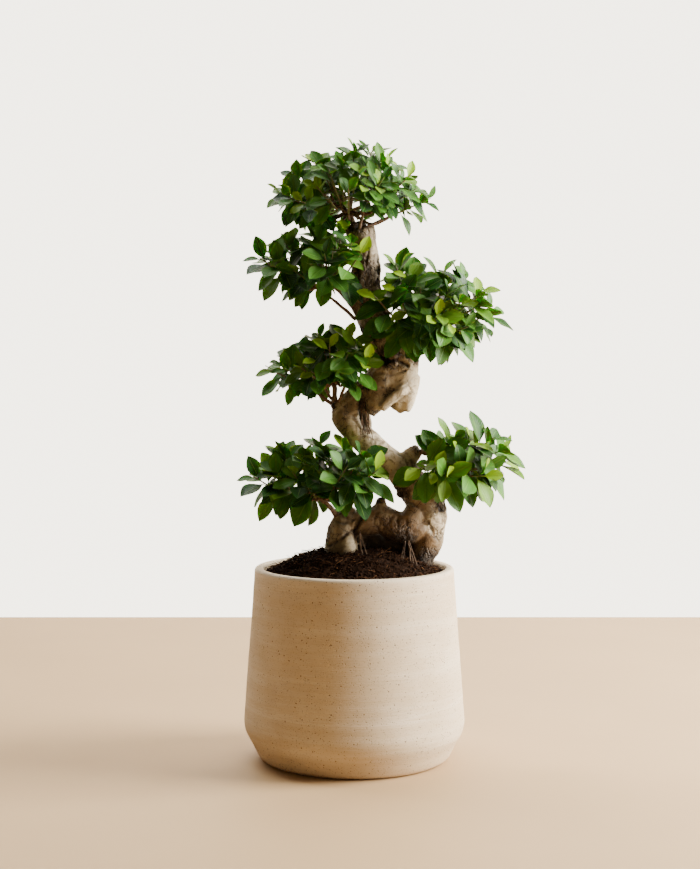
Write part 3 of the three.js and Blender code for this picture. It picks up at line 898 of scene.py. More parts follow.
@dataclass
class Soil:
    """A mound of peat with crumbs, chips and fibres on it."""

    pot: Pot
    edge_height: float = 260.0
    mound_height: float = 38.0
    unevenness: float = 2.2
    rings: int = 60
    segments: int = 150
    crumbs: float = 34000.0
    fibres: float = 42000.0
    chips: float = 1800.0

    def height(self, x: float, y: float) -> float:
        """The height of the mound above the pot's foot."""
        distance = math.hypot(x, y) / self.pot.inner_radius(self.edge_height)
        mound = self.mound_height * max(0.0, 1 - distance * distance)
        ripple = math.sin(x * 0.11 + 1.3) * math.cos(y * 0.13 - 0.4) + 0.5 * math.sin(x * 0.23 - y * 0.19)
        return self.edge_height + mound + self.unevenness * ripple * max(0.0, 1 - distance**4)

    def mound(self) -> Object:
        """The closed body of soil, with a lumpy top.

        Returns:
            The mound, with its tone.
        """
        radius = self.pot.inner_radius(self.edge_height) - 0.4
        points = [(0.0, 0.0, self.height(0.0, 0.0))]
        for ring in range(1, self.rings + 1):
            for i in range(self.segments):
                angle = i * math.tau / self.segments
                x, y = (radius * ring / self.rings * f(angle) for f in (math.cos, math.sin))
                lumps = noise.fractal(Vector((x, y, 0.0)) * 0.07, 1.0, 2.1, 5) * 4.2
                fade = 1.0 if ring < self.rings else 0.2
                points.append((x, y, self.height(x, y) + (lumps - 1.0) * fade))
        base = self.pot.belly_height + 20
        for i in range(self.segments):
            angle = i * math.tau / self.segments
            wide = self.pot.inner_radius(base) - 0.6
            points.append((wide * math.cos(angle), wide * math.sin(angle), base))
        faces: list[tuple[int, ...]] = []
        for ring in range(self.rings):
            inner, outer = 1 + (ring - 1) * self.segments, 1 + ring * self.segments
            for i in range(self.segments):
                j = (i + 1) % self.segments
                if ring == 0:
                    faces.append((0, outer + i, outer + j))
                else:
                    faces.append((inner + i, outer + i, outer + j, inner + j))
        rim, foot = 1 + (self.rings - 1) * self.segments, 1 + self.rings * self.segments
        for i in range(self.segments):
            j = (i + 1) % self.segments
            faces.append((rim + i, foot + i, foot + j, rim + j))
        faces.append(tuple(foot + i for i in range(self.segments))[::-1])
        body = mesh_object("soil_mound", np.array(points), faces)
        add_values(body, "tone", [0.15] * len(points))
        return body

    def ground(self) -> Object:
        """The part of the mound's top that crumbs lie on.

        Returns:
            An open sheet.
        """
        radius = self.pot.inner_radius(self.edge_height) - 3.0
        count = 40
        points, faces = [], []
        for ring in range(count + 1):
            for i in range(self.segments):
                angle = i * math.tau / self.segments
                x, y = (radius * ring / count * f(angle) for f in (math.cos, math.sin))
                points.append((x, y, self.height(x, y)))
        for ring in range(count):
            for i in range(self.segments):
                j = (i + 1) % self.segments
                low, high = ring * self.segments, (ring + 1) * self.segments
                faces.append((low + i, high + i, high + j, low + j))
        return mesh_object("ground", np.array(points), faces)

    def crumb(self) -> Object:
        """A rough lump, less than two across: twenty sides with uneven corners.

        Returns:
            The pattern.
        """
        golden = (1 + 5**0.5) / 2
        corners = [(-1, golden, 0), (1, golden, 0), (-1, -golden, 0), (1, -golden, 0)]
        corners += [(0, -1, golden), (0, 1, golden), (0, -1, -golden), (0, 1, -golden)]
        corners += [(golden, 0, -1), (golden, 0, 1), (-golden, 0, -1), (-golden, 0, 1)]
        faces = [(0, 11, 5), (0, 5, 1), (0, 1, 7), (0, 7, 10), (0, 10, 11)]
        faces += [(1, 5, 9), (5, 11, 4), (11, 10, 2), (10, 7, 6), (7, 1, 8)]
        faces += [(3, 9, 4), (3, 4, 2), (3, 2, 6), (3, 6, 8), (3, 8, 9)]
        faces += [(4, 9, 5), (2, 4, 11), (6, 2, 10), (8, 6, 7), (9, 8, 1)]
        rough = []
        for i, corner in enumerate(corners):
            rough.append([c * (0.32 + 0.30 * chance(3 * i + k)) for k, c in enumerate(corner)])
        return mesh_object("crumb", np.array(rough), faces)

    def chip(self) -> Object:
        """A flat splinter of bark, about five long."""
        shape = [(-2.6, -0.9, 0), (2.2, -1.2, 0.3), (2.8, 0.6, 0.1), (0.4, 1.4, -0.2), (-2.2, 0.8, 0.2)]
        points = [(x, y, z + side) for side in (-0.45, 0.45) for x, y, z in shape]
        faces = [(4, 3, 2, 1, 0), (5, 6, 7, 8, 9)]
        faces += [(i, (i + 1) % 5, 5 + (i + 1) % 5, 5 + i) for i in range(5)]
        return mesh_object("chip", np.array(points), faces)

    def fibre(self) -> Object:
        """A thin bent hair of root, about ten long."""
        stations = [(-5.0, 0.0, 0.0, 0.16), (-2.0, 0.9, 0.7, 0.22), (1.5, -0.5, 1.1, 0.2)]
        stations.append((5.0, 0.8, 0.0, 0.12))
        return mesh_object("fibre", *Route(stations, 2).tube(4))

    def build(self, palette: Palette, scatter: Recipe) -> list[Object]:
        """Makes the mound and what lies on it.

        Args:
            palette: The finishes.
            scatter: The tree that scatters crumbs.

        Returns:
            The mound, the crumbs, the chips and the fibres.
        """
        made = [settle(self.mound(), palette.earth)]
        kinds = (
            ("soil_crumbs", self.crumb(), self.crumbs, 0.7, 3.4, 0.70, math.tau, 3),
            ("soil_chips", self.chip(), self.chips, 0.6, 1.6, 0.95, 0.9, 5),
            ("root_hairs", self.fibre(), self.fibres, 0.5, 2.2, 0.98, 0.75, 8),
        )
        for name, pattern, density, smallest, largest, palest, tilt, seed in kinds:
            piece = self.ground()
            piece.name = name
            scatter.apply(
                piece, Crumb=pattern, Density=density, Smallest=smallest, Largest=largest, Palest=palest,
                Tilt=tilt, Seed=seed, Finish=palette.earth,
            )
            discard(pattern)
            made.append(piece)
        return made


# ---- trunk


@dataclass(frozen=True)
class Crease:
    """A crack or fold in the bark, as it runs over the front: its line in X and Z, width, depth, and how dark
    the shade painted into it is.
    """

    line: tuple[Flat, ...]
    width: float
    depth: float
    darkness: float = 0.8


@dataclass(frozen=True)
class Patch:
    """A round area of bark with its own character."""

    centre: Point
    radius: float
    strength: float = 1.0


LIMBS: tuple[tuple[Station, ...], ...] = (
    # right foot, first bend to the left, second bend to the right, top cut
    (
        (84, 8, 240, 17), (92, 8, 287, 21), (101, 8, 313, 27), (102, 6, 338, 28), (97, 4, 362, 25),
        (79, 0, 391, 23), (57, -4, 413, 20), (30, -6, 437, 18.5), (5, -4, 459, 19.5), (-9, -1, 483, 22),
        (4, 3, 503, 21), (24, 5, 520, 22.5), (42, 5, 543, 25), (44, 2, 574, 26), (30, 0, 610, 23),
        (16, 2, 648, 24), (17, 3, 687, 20.5), (13, 0, 722, 18.5), (8, -2, 744, 20),
    ),
    # swollen lobes that hang from the second bend
    (
        (58, -4, 602, 15), (69, -8, 577, 19), (69, -12, 547, 21), (64, -14, 520, 19),
        (62, -15, 502, 14), (67, -15, 489, 5),
    ),
    ((48, -10, 548, 20), (38, -15, 524, 20), (29, -17, 502, 15), (22, -18, 486, 7)),
    # the saddle of root between the two feet, and the healed peak on it
    ((92, 0, 328, 23), (68, -9, 326, 23), (36, -12, 339, 21), (12, -14, 334, 18), (-12, -12, 336, 17)),
    ((35, -12, 342, 15), (37, -12, 358, 10), (38, -11, 369, 5)),
    # left foot, its front root, and the root that joins both feet at the back
    ((-24, -8, 240, 19), (-19, -12, 296, 24), (-15, -12, 324, 22), (-8, -10, 346, 15), (-5, -9, 357, 8)),
    ((0, -40, 250, 10), (-6, -34, 282, 13), (-10, -28, 303, 14), (-14, -20, 320, 12)),
    ((-20, 14, 292, 24), (20, 28, 304, 25), (60, 28, 306, 25), (94, 18, 312, 22)),
    # cut stubs: first bend's outer side and second bend's left shoulder
    ((70, -2, 418, 15), (84, -3, 430, 11), (91, -3, 437, 8)),
    ((-14, -2, 492, 12), (-26, -3, 499, 7), (-29, -3, 501, 5)),
)

# Folds and webs of the real skin that are too slight to be limbs of their own.
FOLDS: tuple[tuple[Station, ...], ...] = (
    ((80, -22, 534, 6), (66, -31, 521, 7), (50, -35, 507, 7), (37, -33, 495, 6)),
    ((52, -6, 590, 20), (56, -10, 560, 22), (50, -13, 528, 19), (46, -14, 506, 13)),
    ((62, 2, 402, 15), (78, 0, 386, 18), (72, -2, 366, 14)),
    ((27, -17, 504, 14), (25, -19, 492, 10), (25, -20, 486, 6)),
    ((76, -12, 540, 17), (74, -14, 520, 15), (72, -16, 502, 12), (70, -17, 491, 7)),
    ((6, 6, 508, 12), (10, 6, 492, 11), (14, 3, 476, 11), (16, 0, 466, 10)),
    ((86, -12, 352, 15), (76, -17, 338, 16), (60, -16, 332, 15)),
    ((118, 4, 366, 10), (116, 4, 340, 12), (112, 4, 312, 12)),
    ((-2, 0, 734, 9), (2, -6, 742, 9), (10, 4, 745, 9)),
)

CREASES: tuple[Crease, ...] = (
    Crease(((8, 514), (11, 490), (18, 466)), 7.5, 8.0, 1.0),
    Crease(((80, 519), (66, 508), (52, 495)), 1.8, 1.0, 0.25),
    Crease(((-6, 487), (4, 481)), 1.6, 1.2),
    Crease(((57, 434), (70, 425), (76, 410)), 1.8, 1.4),
    Crease(((66, 436), (78, 426), (84, 408)), 1.8, 1.4),
    Crease(((36, 524), (50, 519), (66, 523), (78, 530)), 1.8, 1.2, 0.6),
    Crease(((34, 545), (52, 540), (72, 548)), 2.2, 1.6, 0.7),
    Crease(((53, 345), (49, 338), (42, 331)), 2.0, 2.0),
    Crease(((59, 343), (61, 333), (60, 322)), 2.0, 2.0),
    Crease(((33, 350), (28, 342), (27, 334)), 1.8, 1.6),
    Crease(((72, 342), (74, 330), (70, 318)), 1.8, 1.6),
    Crease(((12, 348), (5, 336), (1, 324), (8, 306)), 5.0, 6.0, 1.0),
    Crease(((-28, 339), (-14, 335), (2, 341)), 2.0, 1.8),
    Crease(((-3, 326), (-14, 318), (-26, 309), (-38, 303)), 3.2, 3.0, 0.95),
    Crease(((-20, 352), (-16, 344), (-4, 340)), 1.8, 1.4),
    Crease(((94, 352), (108, 324), (117, 309)), 1.5, 1.4),
    Crease(((104, 336), (110, 322), (112, 312)), 1.3, 1.1),
    Crease(((33, 706), (35, 690), (32, 668)), 2.4, 3.0, 1.0),
    Crease(((20, 712), (16, 694), (19, 676), (13, 660)), 2.0, 2.0),
    Crease(((4, 700), (6, 676), (0, 656)), 2.0, 2.0),
    Crease(((24, 650), (18, 630), (26, 612)), 2.0, 2.0),
    Crease(((60, 596), (66, 586), (80, 584)), 3.0, 2.6, 0.95),
    Crease(((34, 566), (46, 560), (60, 562), (74, 554)), 4.0, 4.0, 1.0),
    Crease(((26, 590), (30, 574), (40, 562)), 3.4, 3.6, 1.0),
    Crease(((48, 584), (60, 572), (82, 566)), 2.4, 2.0),
)

ROUGH: tuple[Patch, ...] = (
    Patch((8, -4, 744), 20), Patch((76, -8, 590), 24), Patch((80, -14, 566), 17),
    Patch((48, -24, 566), 20, 0.9), Patch((88, -4, 434), 13, 0.6), Patch((-30, -3, 497), 11),
    Patch((36, -12, 372), 13), Patch((18, 0, 680), 32, 0.62),
    Patch((22, 0, 640), 30, 0.8), Patch((34, 0, 606), 30, 1.0), Patch((66, -6, 378), 20, 0.95),
    Patch((120, -4, 358), 14, 0.9), Patch((104, -10, 286), 16, 0.4), Patch((-36, -14, 316), 15, 0.6),
    Patch((14, -24, 528), 13, 0.9), Patch((2, -2, 706), 16, 0.5),
    # The wide weak patch over the saddle, at (52, -32, 318), darkens it as painted shade, with a little
    # crust.
    Patch((52, -32, 318), 30, 0.25), Patch((24, -20, 488), 12, 0.5),
)

PEELED: tuple[Patch, ...] = (
    Patch((116, -16, 332), 19), Patch((74, -26, 508), 22, 0.55), Patch((70, -26, 540), 14, 0.5),
    Patch((20, -20, 452), 26, 0.9), Patch((46, -20, 434), 22, 0.8), Patch((6, -16, 480), 14, 0.7),
    Patch((30, -16, 712), 12, 0.3), Patch((-8, -30, 304), 12, 0.6),
)

# Painted shadow: where the lower right cloud and the saddle's arch shade the saddle, its peak and the right
# foot's base.
SHADOWED: tuple[Patch, ...] = (
    Patch((30, -20, 332), 36, 0.7), Patch((62, -20, 322), 38, 0.85), Patch((88, -20, 306), 34, 0.95),
    Patch((100, -14, 288), 30, 0.95), Patch((80, -16, 362), 26, 0.6), Patch((38, -10, 362), 16, 0.6),
    Patch((114, -6, 274), 24, 0.95),
)

# Small pits, carved in and painted dark as shade.
HOLLOWS: tuple[Patch, ...] = (
    Patch((-22, -20, 467), 3.2), Patch((120, -12, 353), 5.0), Patch((2, -20, 470), 2.0),
    Patch((54, -30, 520), 2.4), Patch((44, -26, 560), 7.0),
)

HANGING_ROOTS: tuple[tuple[Station, ...], ...] = (
    ((72, -12, 322, 2.6), (70, -26, 305, 1.9), (66, -32, 280, 1.4), (65, -34, 262, 1.3)),
    ((72, -14, 320, 2.4), (77, -28, 303, 1.8), (82, -34, 282, 1.4), (84, -36, 262, 1.3)),
    ((10, -24, 330, 3.2), (8, -34, 308, 2.4), (14, -40, 286, 2.0), (20, -46, 262, 1.6)),
    ((22, -20, 505, 2.6), (16, -23, 486, 2.0), (20, -20, 464, 1.6), (24, -18, 446, 1.6)),
    ((14, -14, 508, 2.6), (10, -20, 490, 2.0), (13, -21, 470, 1.6), (17, -19, 450, 1.6)),
)


@dataclass
class RootTuft:
    """The roots that hang in the hollows of the trunk, each with finer ones that leave it."""

    thinner: float = 0.48
    hairs: int = 3
    spread: float = 9.0

    def lines(self) -> Strands:
        """Every root as a line.

        Returns:
            The lines, with their radii.
        """
        lines = Strands()
        for i, stations in enumerate(HANGING_ROOTS):
            route = Route(stations, 6)
            kinks = np.array([wobble(Vector(p) * 0.12) for p in route.points]) * 1.8
            points = route.points + kinks
            lines.lay(points, route.radii * self.thinner)
            for k in range(self.hairs):
                seed = 17 * i + k
                leave = int(mix(1, 0.5 * len(points), chance(seed)))
                drift = [mix(-1, 1, chance(seed + 0.3)), mix(-1, 0.4, chance(seed + 0.6)), 0.0]
                arrive = points[-1] + np.array(drift) * self.spread
                bow = [0.0, -2.0, mix(-3.0, 5.0, chance(seed + 0.9))]
                middle = 0.5 * (points[leave] + arrive) + np.array(bow)
                hair = Route([(*points[leave], 0.75), (*middle, 0.6), (*arrive, 0.4)], 5)
                lines.lay(hair.points, hair.radii)
        return lines


class Skin:
    """A trunk's surface as arrays, which its marks are carved into."""

    def __init__(self, obj: Object) -> None:
        """Reads a mesh, in millimetres.

        Args:
            obj: The object that it belongs to.
        """
        self.obj = obj
        self.mesh = obj.data
        count = len(self.mesh.vertices)
        self.points = np.empty(count * 3)
        self.mesh.vertices.foreach_get("co", self.points)
        self.points = self.points.reshape(-1, 3) / MM
        self.edges = np.empty(len(self.mesh.edges) * 2, int)
        self.mesh.edges.foreach_get("vertices", self.edges)
        self.edges = self.edges.reshape(-1, 2)
        self.links = np.bincount(self.edges.ravel(), minlength=count)[:, None]

    def averaged(self, values: np.ndarray) -> np.ndarray:
        """Each point's value, taken as the mean of its neighbours'."""
        total = np.zeros_like(values)
        np.add.at(total, self.edges[:, 0], values[self.edges[:, 1]])
        np.add.at(total, self.edges[:, 1], values[self.edges[:, 0]])
        return total / (self.links if values.ndim > 1 else self.links[:, 0])

    def smooth(self, rounds: int) -> None:
        """Evens the surface out without shrinking it."""
        for _ in range(rounds):
            for share in (0.55, -0.57):
                self.points += share * (self.averaged(self.points) - self.points)

    def normals(self) -> np.ndarray:
        """The outward direction at each point."""
        self.store()
        flat = np.empty(len(self.points) * 3)
        self.mesh.vertex_normals.foreach_get("vector", flat)
        return flat.reshape(-1, 3)

    def store(self) -> None:
        """Writes the points back to the mesh."""
        self.mesh.vertices.foreach_set("co", (self.points * MM).ravel())
        self.mesh.update()

    def nearness(self, patches: Iterable[Patch]) -> np.ndarray:
        """How far each point is inside any of the patches.

        Args:
            patches: The patches.

        Returns:
            One share from 0 to 1 for each point.
        """
        most = np.zeros(len(self.points))
        for patch in patches:
            away = np.linalg.norm(self.points - np.array(patch.centre), axis=1) / patch.radius
            most = np.maximum(most, patch.strength * smoothstep(1.15, 0.65, away))
        return most


@dataclass
class Trunk:
    """The grown-together wood: one skin over all the limbs."""

    voxel: float = 1.9
    sides: int = 20
    steps: int = 5

    def melt(self) -> Object:
        """Melts every limb and fold together.

        Returns:
            One closed skin.
        """
        points, faces, start = [], [], 0
        for stations in LIMBS + FOLDS:
            ring_points, ring_faces = Route(stations, self.steps).tube(self.sides)
            points.append(ring_points)
            faces.extend(tuple(start + i for i in face) for face in ring_faces)
            start += len(ring_points)
        skin = mesh_object("bonsai_trunk", np.vstack(points), faces)
        remesh = skin.modifiers.new("melt", "REMESH")
        remesh.mode = "VOXEL"
        remesh.voxel_size = self.voxel * MM
        return settle(skin)

    def wrinkles(self, skin: Skin) -> np.ndarray:
        """How far the bark is pushed in or out where the trunk bends.

        Args:
            skin: The trunk's surface.

        Returns:
            One height in millimetres for each point.
        """
        routes = [Route(stations, 10) for stations in LIMBS[:6]]
        samples = np.vstack([r.points for r in routes])
        travel, bend = [], []
        for route in routes:
            lengths = np.linalg.norm(np.diff(route.points, axis=0), axis=1)
            travel.append(np.concatenate([[0.0], np.cumsum(lengths)]))
            turning = np.gradient(route.directions(), axis=0)
            bend.append(np.linalg.norm(turning, axis=1) / np.maximum(np.gradient(travel[-1]), 0.1))
        travel, bend = np.concatenate(travel), np.concatenate(bend)
        tree = KDTree(len(samples))
        for i, sample in enumerate(samples):
            tree.insert(sample, i)
        tree.balance()
        heights = np.zeros(len(skin.points))
        for i, point in enumerate(skin.points):
            _, near, _ = tree.find(point)
            place = Vector(point)
            wander = noise.noise(place * 0.05) * 7.0 + noise.noise(place * 0.16) * 2.0
            fold = math.sin((travel[near] + wander) * 0.9)
            broken = max(0.0, noise.noise(place * 0.04 + Vector((9.0, 0.0, 0.0))) + 0.35)
            strength = min(1.0, bend[near] * 28.0) * broken
            heights[i] = fold * strength * 0.75
        return heights

    def lumps(self, skin: Skin, rough: np.ndarray) -> np.ndarray:
        """The knobbly shape of old wood, coarser where the bark is rough.

        Args:
            skin: The trunk's surface.
            rough: How rough each point is.

        Returns:
            One height in millimetres for each point.
        """
        heights = np.zeros(len(skin.points))
        for i, point in enumerate(skin.points):
            place = Vector(point)
            broad = noise.fractal(place * 0.030, 1.0, 2.2, 3) * 2.7
            small = noise.fractal(place * 0.13, 1.0, 2.1, 3) * 0.45
            crust = 0.0
            if rough[i] > 0.02:
                tall = Vector((point[0], point[1], point[2] * 0.45)) * 0.12
                ridged = noise.ridged_multi_fractal(tall, 0.9, 2.1, 4, 1.0, 2.0)
                crust = (ridged - 1.1) * 2.3 * rough[i]
            heights[i] = broad + small + crust
        return heights

    def carve(self, skin: Skin, normals: np.ndarray) -> np.ndarray:
        """Cuts the cracks and folds of the front.

        Args:
            skin: The trunk's surface, whose points are moved.
            normals: Its outward directions.

        Returns:
            How dark the cut is at each point, from 0 to 1: painted shade in the crease.
        """
        dark = np.zeros(len(skin.points))
        flat = skin.points[:, [0, 2]]
        wander = np.array([noise.noise(Vector(p) * 0.22) for p in skin.points]) * 1.3
        front = smoothstep(0.35, -0.05, normals[:, 1])
        for crease in CREASES:
            away = np.full(len(flat), 1e9)
            for a, b in zip(crease.line, crease.line[1:]):
                a, b = np.array(a, float), np.array(b, float)
                share = np.clip(((flat - a) @ (b - a)) / ((b - a) @ (b - a)), 0.0, 1.0)
                away = np.minimum(away, np.linalg.norm(flat - a - share[:, None] * (b - a), axis=1))
            inside = smoothstep(crease.width, 0.0, away + wander) * front
            skin.points -= normals * (inside * crease.depth)[:, None]
            dark = np.maximum(dark, smoothstep(0.25, 1.0, inside) * crease.darkness)
        return dark

    def build(self, palette: Palette) -> Object:
        """Makes the skin, carves it and marks its painted shade and painted shadow, and where it is rough and
        peeled.

        Args:
            palette: The finishes.

        Returns:
            The trunk.
        """
        obj = self.melt()
        skin = Skin(obj)
        skin.smooth(14)
        rough = skin.nearness(ROUGH)
        normals = skin.normals()
        skin.points += normals * (self.lumps(skin, rough) + self.wrinkles(skin) * (1 - rough))[:, None]
        dark = self.carve(skin, skin.normals())
        pits = skin.nearness(HOLLOWS)
        skin.points -= skin.normals() * (pits * 2.4)[:, None]
        mean = skin.points.copy()
        for _ in range(5):
            mean = skin.averaged(mean)
        sunk = np.einsum("ij,ij->i", mean - skin.points, skin.normals())
        # Painted shade: dark in the creases, the pits and the sunken places, under the arch of the saddle,
        # and darker towards the soil line.
        dark = np.maximum.reduce([dark, pits, smoothstep(0.35, 1.5, sunk) * 0.8])
        near_soil = smoothstep(20.0, -2.0, skin.points[:, 2] - SOIL_LINE) * 0.75
        shade = 0.9 * smoothstep(334.0, 312.0, skin.points[:, 2]) * smoothstep(2.0, 14.0, skin.points[:, 0])
        shade *= smoothstep(96.0, 78.0, skin.points[:, 0])
        dark = np.maximum.reduce([dark, near_soil, shade])
        for _ in range(2):
            dark = 0.5 * dark + 0.5 * skin.averaged(dark)
        skin.store()
        peeled, shadowed = skin.nearness(PEELED), skin.nearness(SHADOWED)
        for name, values in (("painted_shade", dark), ("rough", rough), ("peeled", peeled), ("shadowed", shadowed)):
            add_values(obj, name, values)
        return settle(obj, palette.bark)


# ---- foliage


class CloudName(Enum):
    """The six clouds of leaves, from the top down."""

    CROWN = "crown"
    UPPER_LEFT = "upper_left"
    RIGHT_MIDDLE = "right_middle"
    LEFT_MIDDLE = "left_middle"
    LOWER_LEFT = "lower_left"
    LOWER_RIGHT = "lower_right"


@dataclass
class LeafRule:
    """How leaves sit on a stem."""

    half_width: float = 0.28
    droop: float = 0.16
    narrow_angle: float = 30.0
    wide_angle: float = 84.0
    turn_to_light: float = 1.7
    hang: float = 0.10
    clearance: float = 0.55
    internode: float = 4.4
    bare_length: float = 7.0
    lift: float = 0.3
    stem_radius: float = 1.5
    side_leaves: int = 11
    side_reach: float = 26.0
    side_span: float = 112.0
    side_gap: float = 0.24
    back_share: Point = (0.88, -0.85, 0.94)
    back_room: float = 42.0
    fuller: float = 1.10
    light: np.ndarray = field(default_factory=lambda: unit(np.array([0.34, -0.76, 0.56])))

    @staticmethod
    def breadth(u: np.ndarray) -> np.ndarray:
        """Breadth of the blade along its length, from 0 to 1: a short stalk, then an egg-shaped blade."""
        inside = np.clip((u - 0.06) / 0.94, 0.0, 1.0) ** 1.12
        return np.where(u < 0.12, 0.09, np.abs(np.sin(math.pi * inside)) ** 0.72)


@dataclass
class LeafFrame:
    """One leaf: where it leaves the stem, its directions, and its length."""

    base: np.ndarray
    along: np.ndarray
    face: np.ndarray
    side: np.ndarray
    length: float
    order: int
    points: np.ndarray = field(default_factory=lambda: np.zeros((0, 3)))


@dataclass
class Stem:
    """A green stem and the leaves on it."""

    tip: np.ndarray
    axis: np.ndarray
    reach: float
    leaf_length: float
    leaf_count: int
    seed: int
    foot: np.ndarray | None = None
    leaves: list[LeafFrame] = field(default_factory=list)

    @property
    def start(self) -> np.ndarray:
        """The lower end of the part that bears leaves."""
        return self.tip - self.axis * self.reach

    def line(self) -> tuple[np.ndarray, np.ndarray]:
        """The stem as a line, from where it leaves older wood to the bud at its tip.

        Returns:
            Its points and radii.
        """
        bud = self.tip + self.axis * 5.5
        steps = [self.start + self.axis * self.reach * i / 5 for i in range(6)]
        girth = [mix(1.6, 0.95, i / 5) for i in range(6)]
        if self.foot is not None:
            bend = self.start - self.axis * 0.35 * np.linalg.norm(self.start - self.foot)
            steps = list(Route([(*self.foot, 1.3), (*bend, 1.2), (*self.start, 1.1)], 4).points) + steps[1:]
            girth = [1.25] * 9 + [mix(1.15, 0.8, i / 5) for i in range(1, 6)]
        return np.array([*steps, bud]), np.array([*girth, 0.25])


@dataclass
class Shoot:
    """A leafy stem at the end of a branch, with the side stems that grow from it."""

    name: str
    main: Stem
    sides: list[Stem] = field(default_factory=list)

    @property
    def stems(self) -> list[Stem]:
        """The main stem and its side stems."""
        return [self.main, *self.sides]


@dataclass
class Cloud:
    """A forked branch and the places of its shoots."""

    name: CloudName
    root: Point
    heart: Point
    leaf: float
    leaves: int
    tips: tuple[Point, ...]
    root_radius: float = 4.2
    fork_radius: float = 2.6
    end_radius: float = 1.7
    painted_sheen: float = 0.0
    companions: tuple[tuple[Point, int], ...] = ()

    def shoots(self, rule: LeafRule) -> list[Shoot]:
        """The shoots of this cloud, without their leaves.

        Args:
            rule: How leaves sit on a stem.

        Returns:
            One shoot for each tip, in order.
        """
        heart = np.array(self.heart, float)
        made = []
        for i, place in enumerate(self.tips):
            tip = np.array(place, float)
            axis = unit(unit(tip - heart) + rule.lift * UP)
            full = rule.internode * (self.leaves - 1) + rule.bare_length
            reach = min(full, float(np.linalg.norm(tip - heart)) * 0.72)
            seed = i + 1 + 31 * len(self.name.value)
            stem = Stem(tip, axis, reach, self.leaf * rule.fuller, self.leaves, seed)
            made.append(Shoot(f"{self.name.value}_shoot_{i + 1:02d}", stem))
        self.add_sides(made, rule)
        self.add_backs(made, rule)
        return made

    def add_sides(self, shoots: Sequence[Shoot], rule: LeafRule) -> None:
        """Grows a side stem between each two shoots that stand near each other.

        Args:
            shoots: The cloud's shoots, which get the side stems.
            rule: How near they must be, and how long a side stem is.
        """
        heart = np.array(self.heart, float)
        taken = [shoot.main.tip for shoot in shoots]
        for i, first in enumerate(shoots):
            for j, second in enumerate(shoots[i + 1:], i + 1):
                if np.linalg.norm(first.main.tip - second.main.tip) > rule.side_span:
                    continue
                outer, inner = mix(0.86, 1.06, chance(7 * i + j)), mix(0.58, 0.74, chance(5 * i + j))
                depth = inner if (i + j) % 4 == 0 else outer
                tip = heart + (0.5 * (first.main.tip + second.main.tip) - heart) * depth
                if min(np.linalg.norm(tip - other) for other in taken) < rule.side_gap * self.leaf:
                    continue
                taken.append(tip)
                parent = (first, second)[(i + j) % 2]
                foot = parent.main.start + parent.main.axis * parent.main.reach * 0.12
                axis = unit(unit(tip - heart) + rule.lift * UP)
                reach = min(rule.side_reach, float(np.linalg.norm(tip - foot)) * 0.8)
                seed = 100 * (i + 1) + j + 31 * len(self.name.value)
                parent.sides.append(Stem(tip, axis, reach, self.leaf * 1.04, rule.side_leaves, seed, foot))

    def add_backs(self, shoots: Sequence[Shoot], rule: LeafRule) -> None:
        """Grows a stem to the back for each shoot at the front, so that the cloud is full all round.

        Args:
            shoots: The cloud's shoots, which get the stems.
            rule: How clear of the trunk they end, and how many leaves they have.
        """
        heart = np.array(self.heart, float)
        wood = np.array([station[:3] for limb in LIMBS for station in limb], float)
        for i, shoot in enumerate(shoots):
            outwards = shoot.main.tip - heart
            tip = heart + outwards * np.array(rule.back_share)
            if outwards[1] > -12.0 or np.linalg.norm(wood - tip, axis=1).min() < rule.back_room:
                continue
            axis = unit(unit(tip - heart) + rule.lift * UP)
            reach = min(rule.side_reach, float(np.linalg.norm(tip - heart)) * 0.6)
            seed = 2000 + i + 31 * len(self.name.value)
            shoot.sides.append(Stem(tip, axis, reach, self.leaf * rule.fuller, rule.side_leaves, seed, heart))

    def twig(self, stem: Stem) -> Route:
        """The twig from the fork to one shoot."""
        heart = np.array(self.heart, float)
        end = stem.start - stem.axis * 2 * GAP
        bend = end - stem.axis * 0.5 * np.linalg.norm(end - heart)
        middle = mix(self.fork_radius, self.end_radius, 0.5)
        return Route([(*heart, self.fork_radius), (*bend, middle), (*end, self.end_radius)], 6)

    def main_twig(self) -> Route:
        """The stout twig from the trunk to the fork."""
        root, heart = np.array(self.root, float), np.array(self.heart, float)
        bend = root + (heart - root) * 0.55 + np.array([1.5, -2.0, 1.5])
        middle = mix(self.root_radius, self.fork_radius, 0.5)
        return Route([(*root, self.root_radius), (*bend, middle), (*heart, self.fork_radius + 0.4)], 6)

    def companion(self, root: Point, stem: Stem) -> Route:
        """A thinner twig that rises beside the main one and reaches one shoot by itself."""
        end = stem.start - stem.axis * 2.2
        heart = np.array(self.heart, float)
        outwards = unit(end - heart) * 9.0
        bend = 0.5 * (np.array(root, float) + end) + outwards * 0.2 + UP * 2.0
        return Route([(*root, 2.7), (*bend, 2.1), (*end, 1.5)], 6)


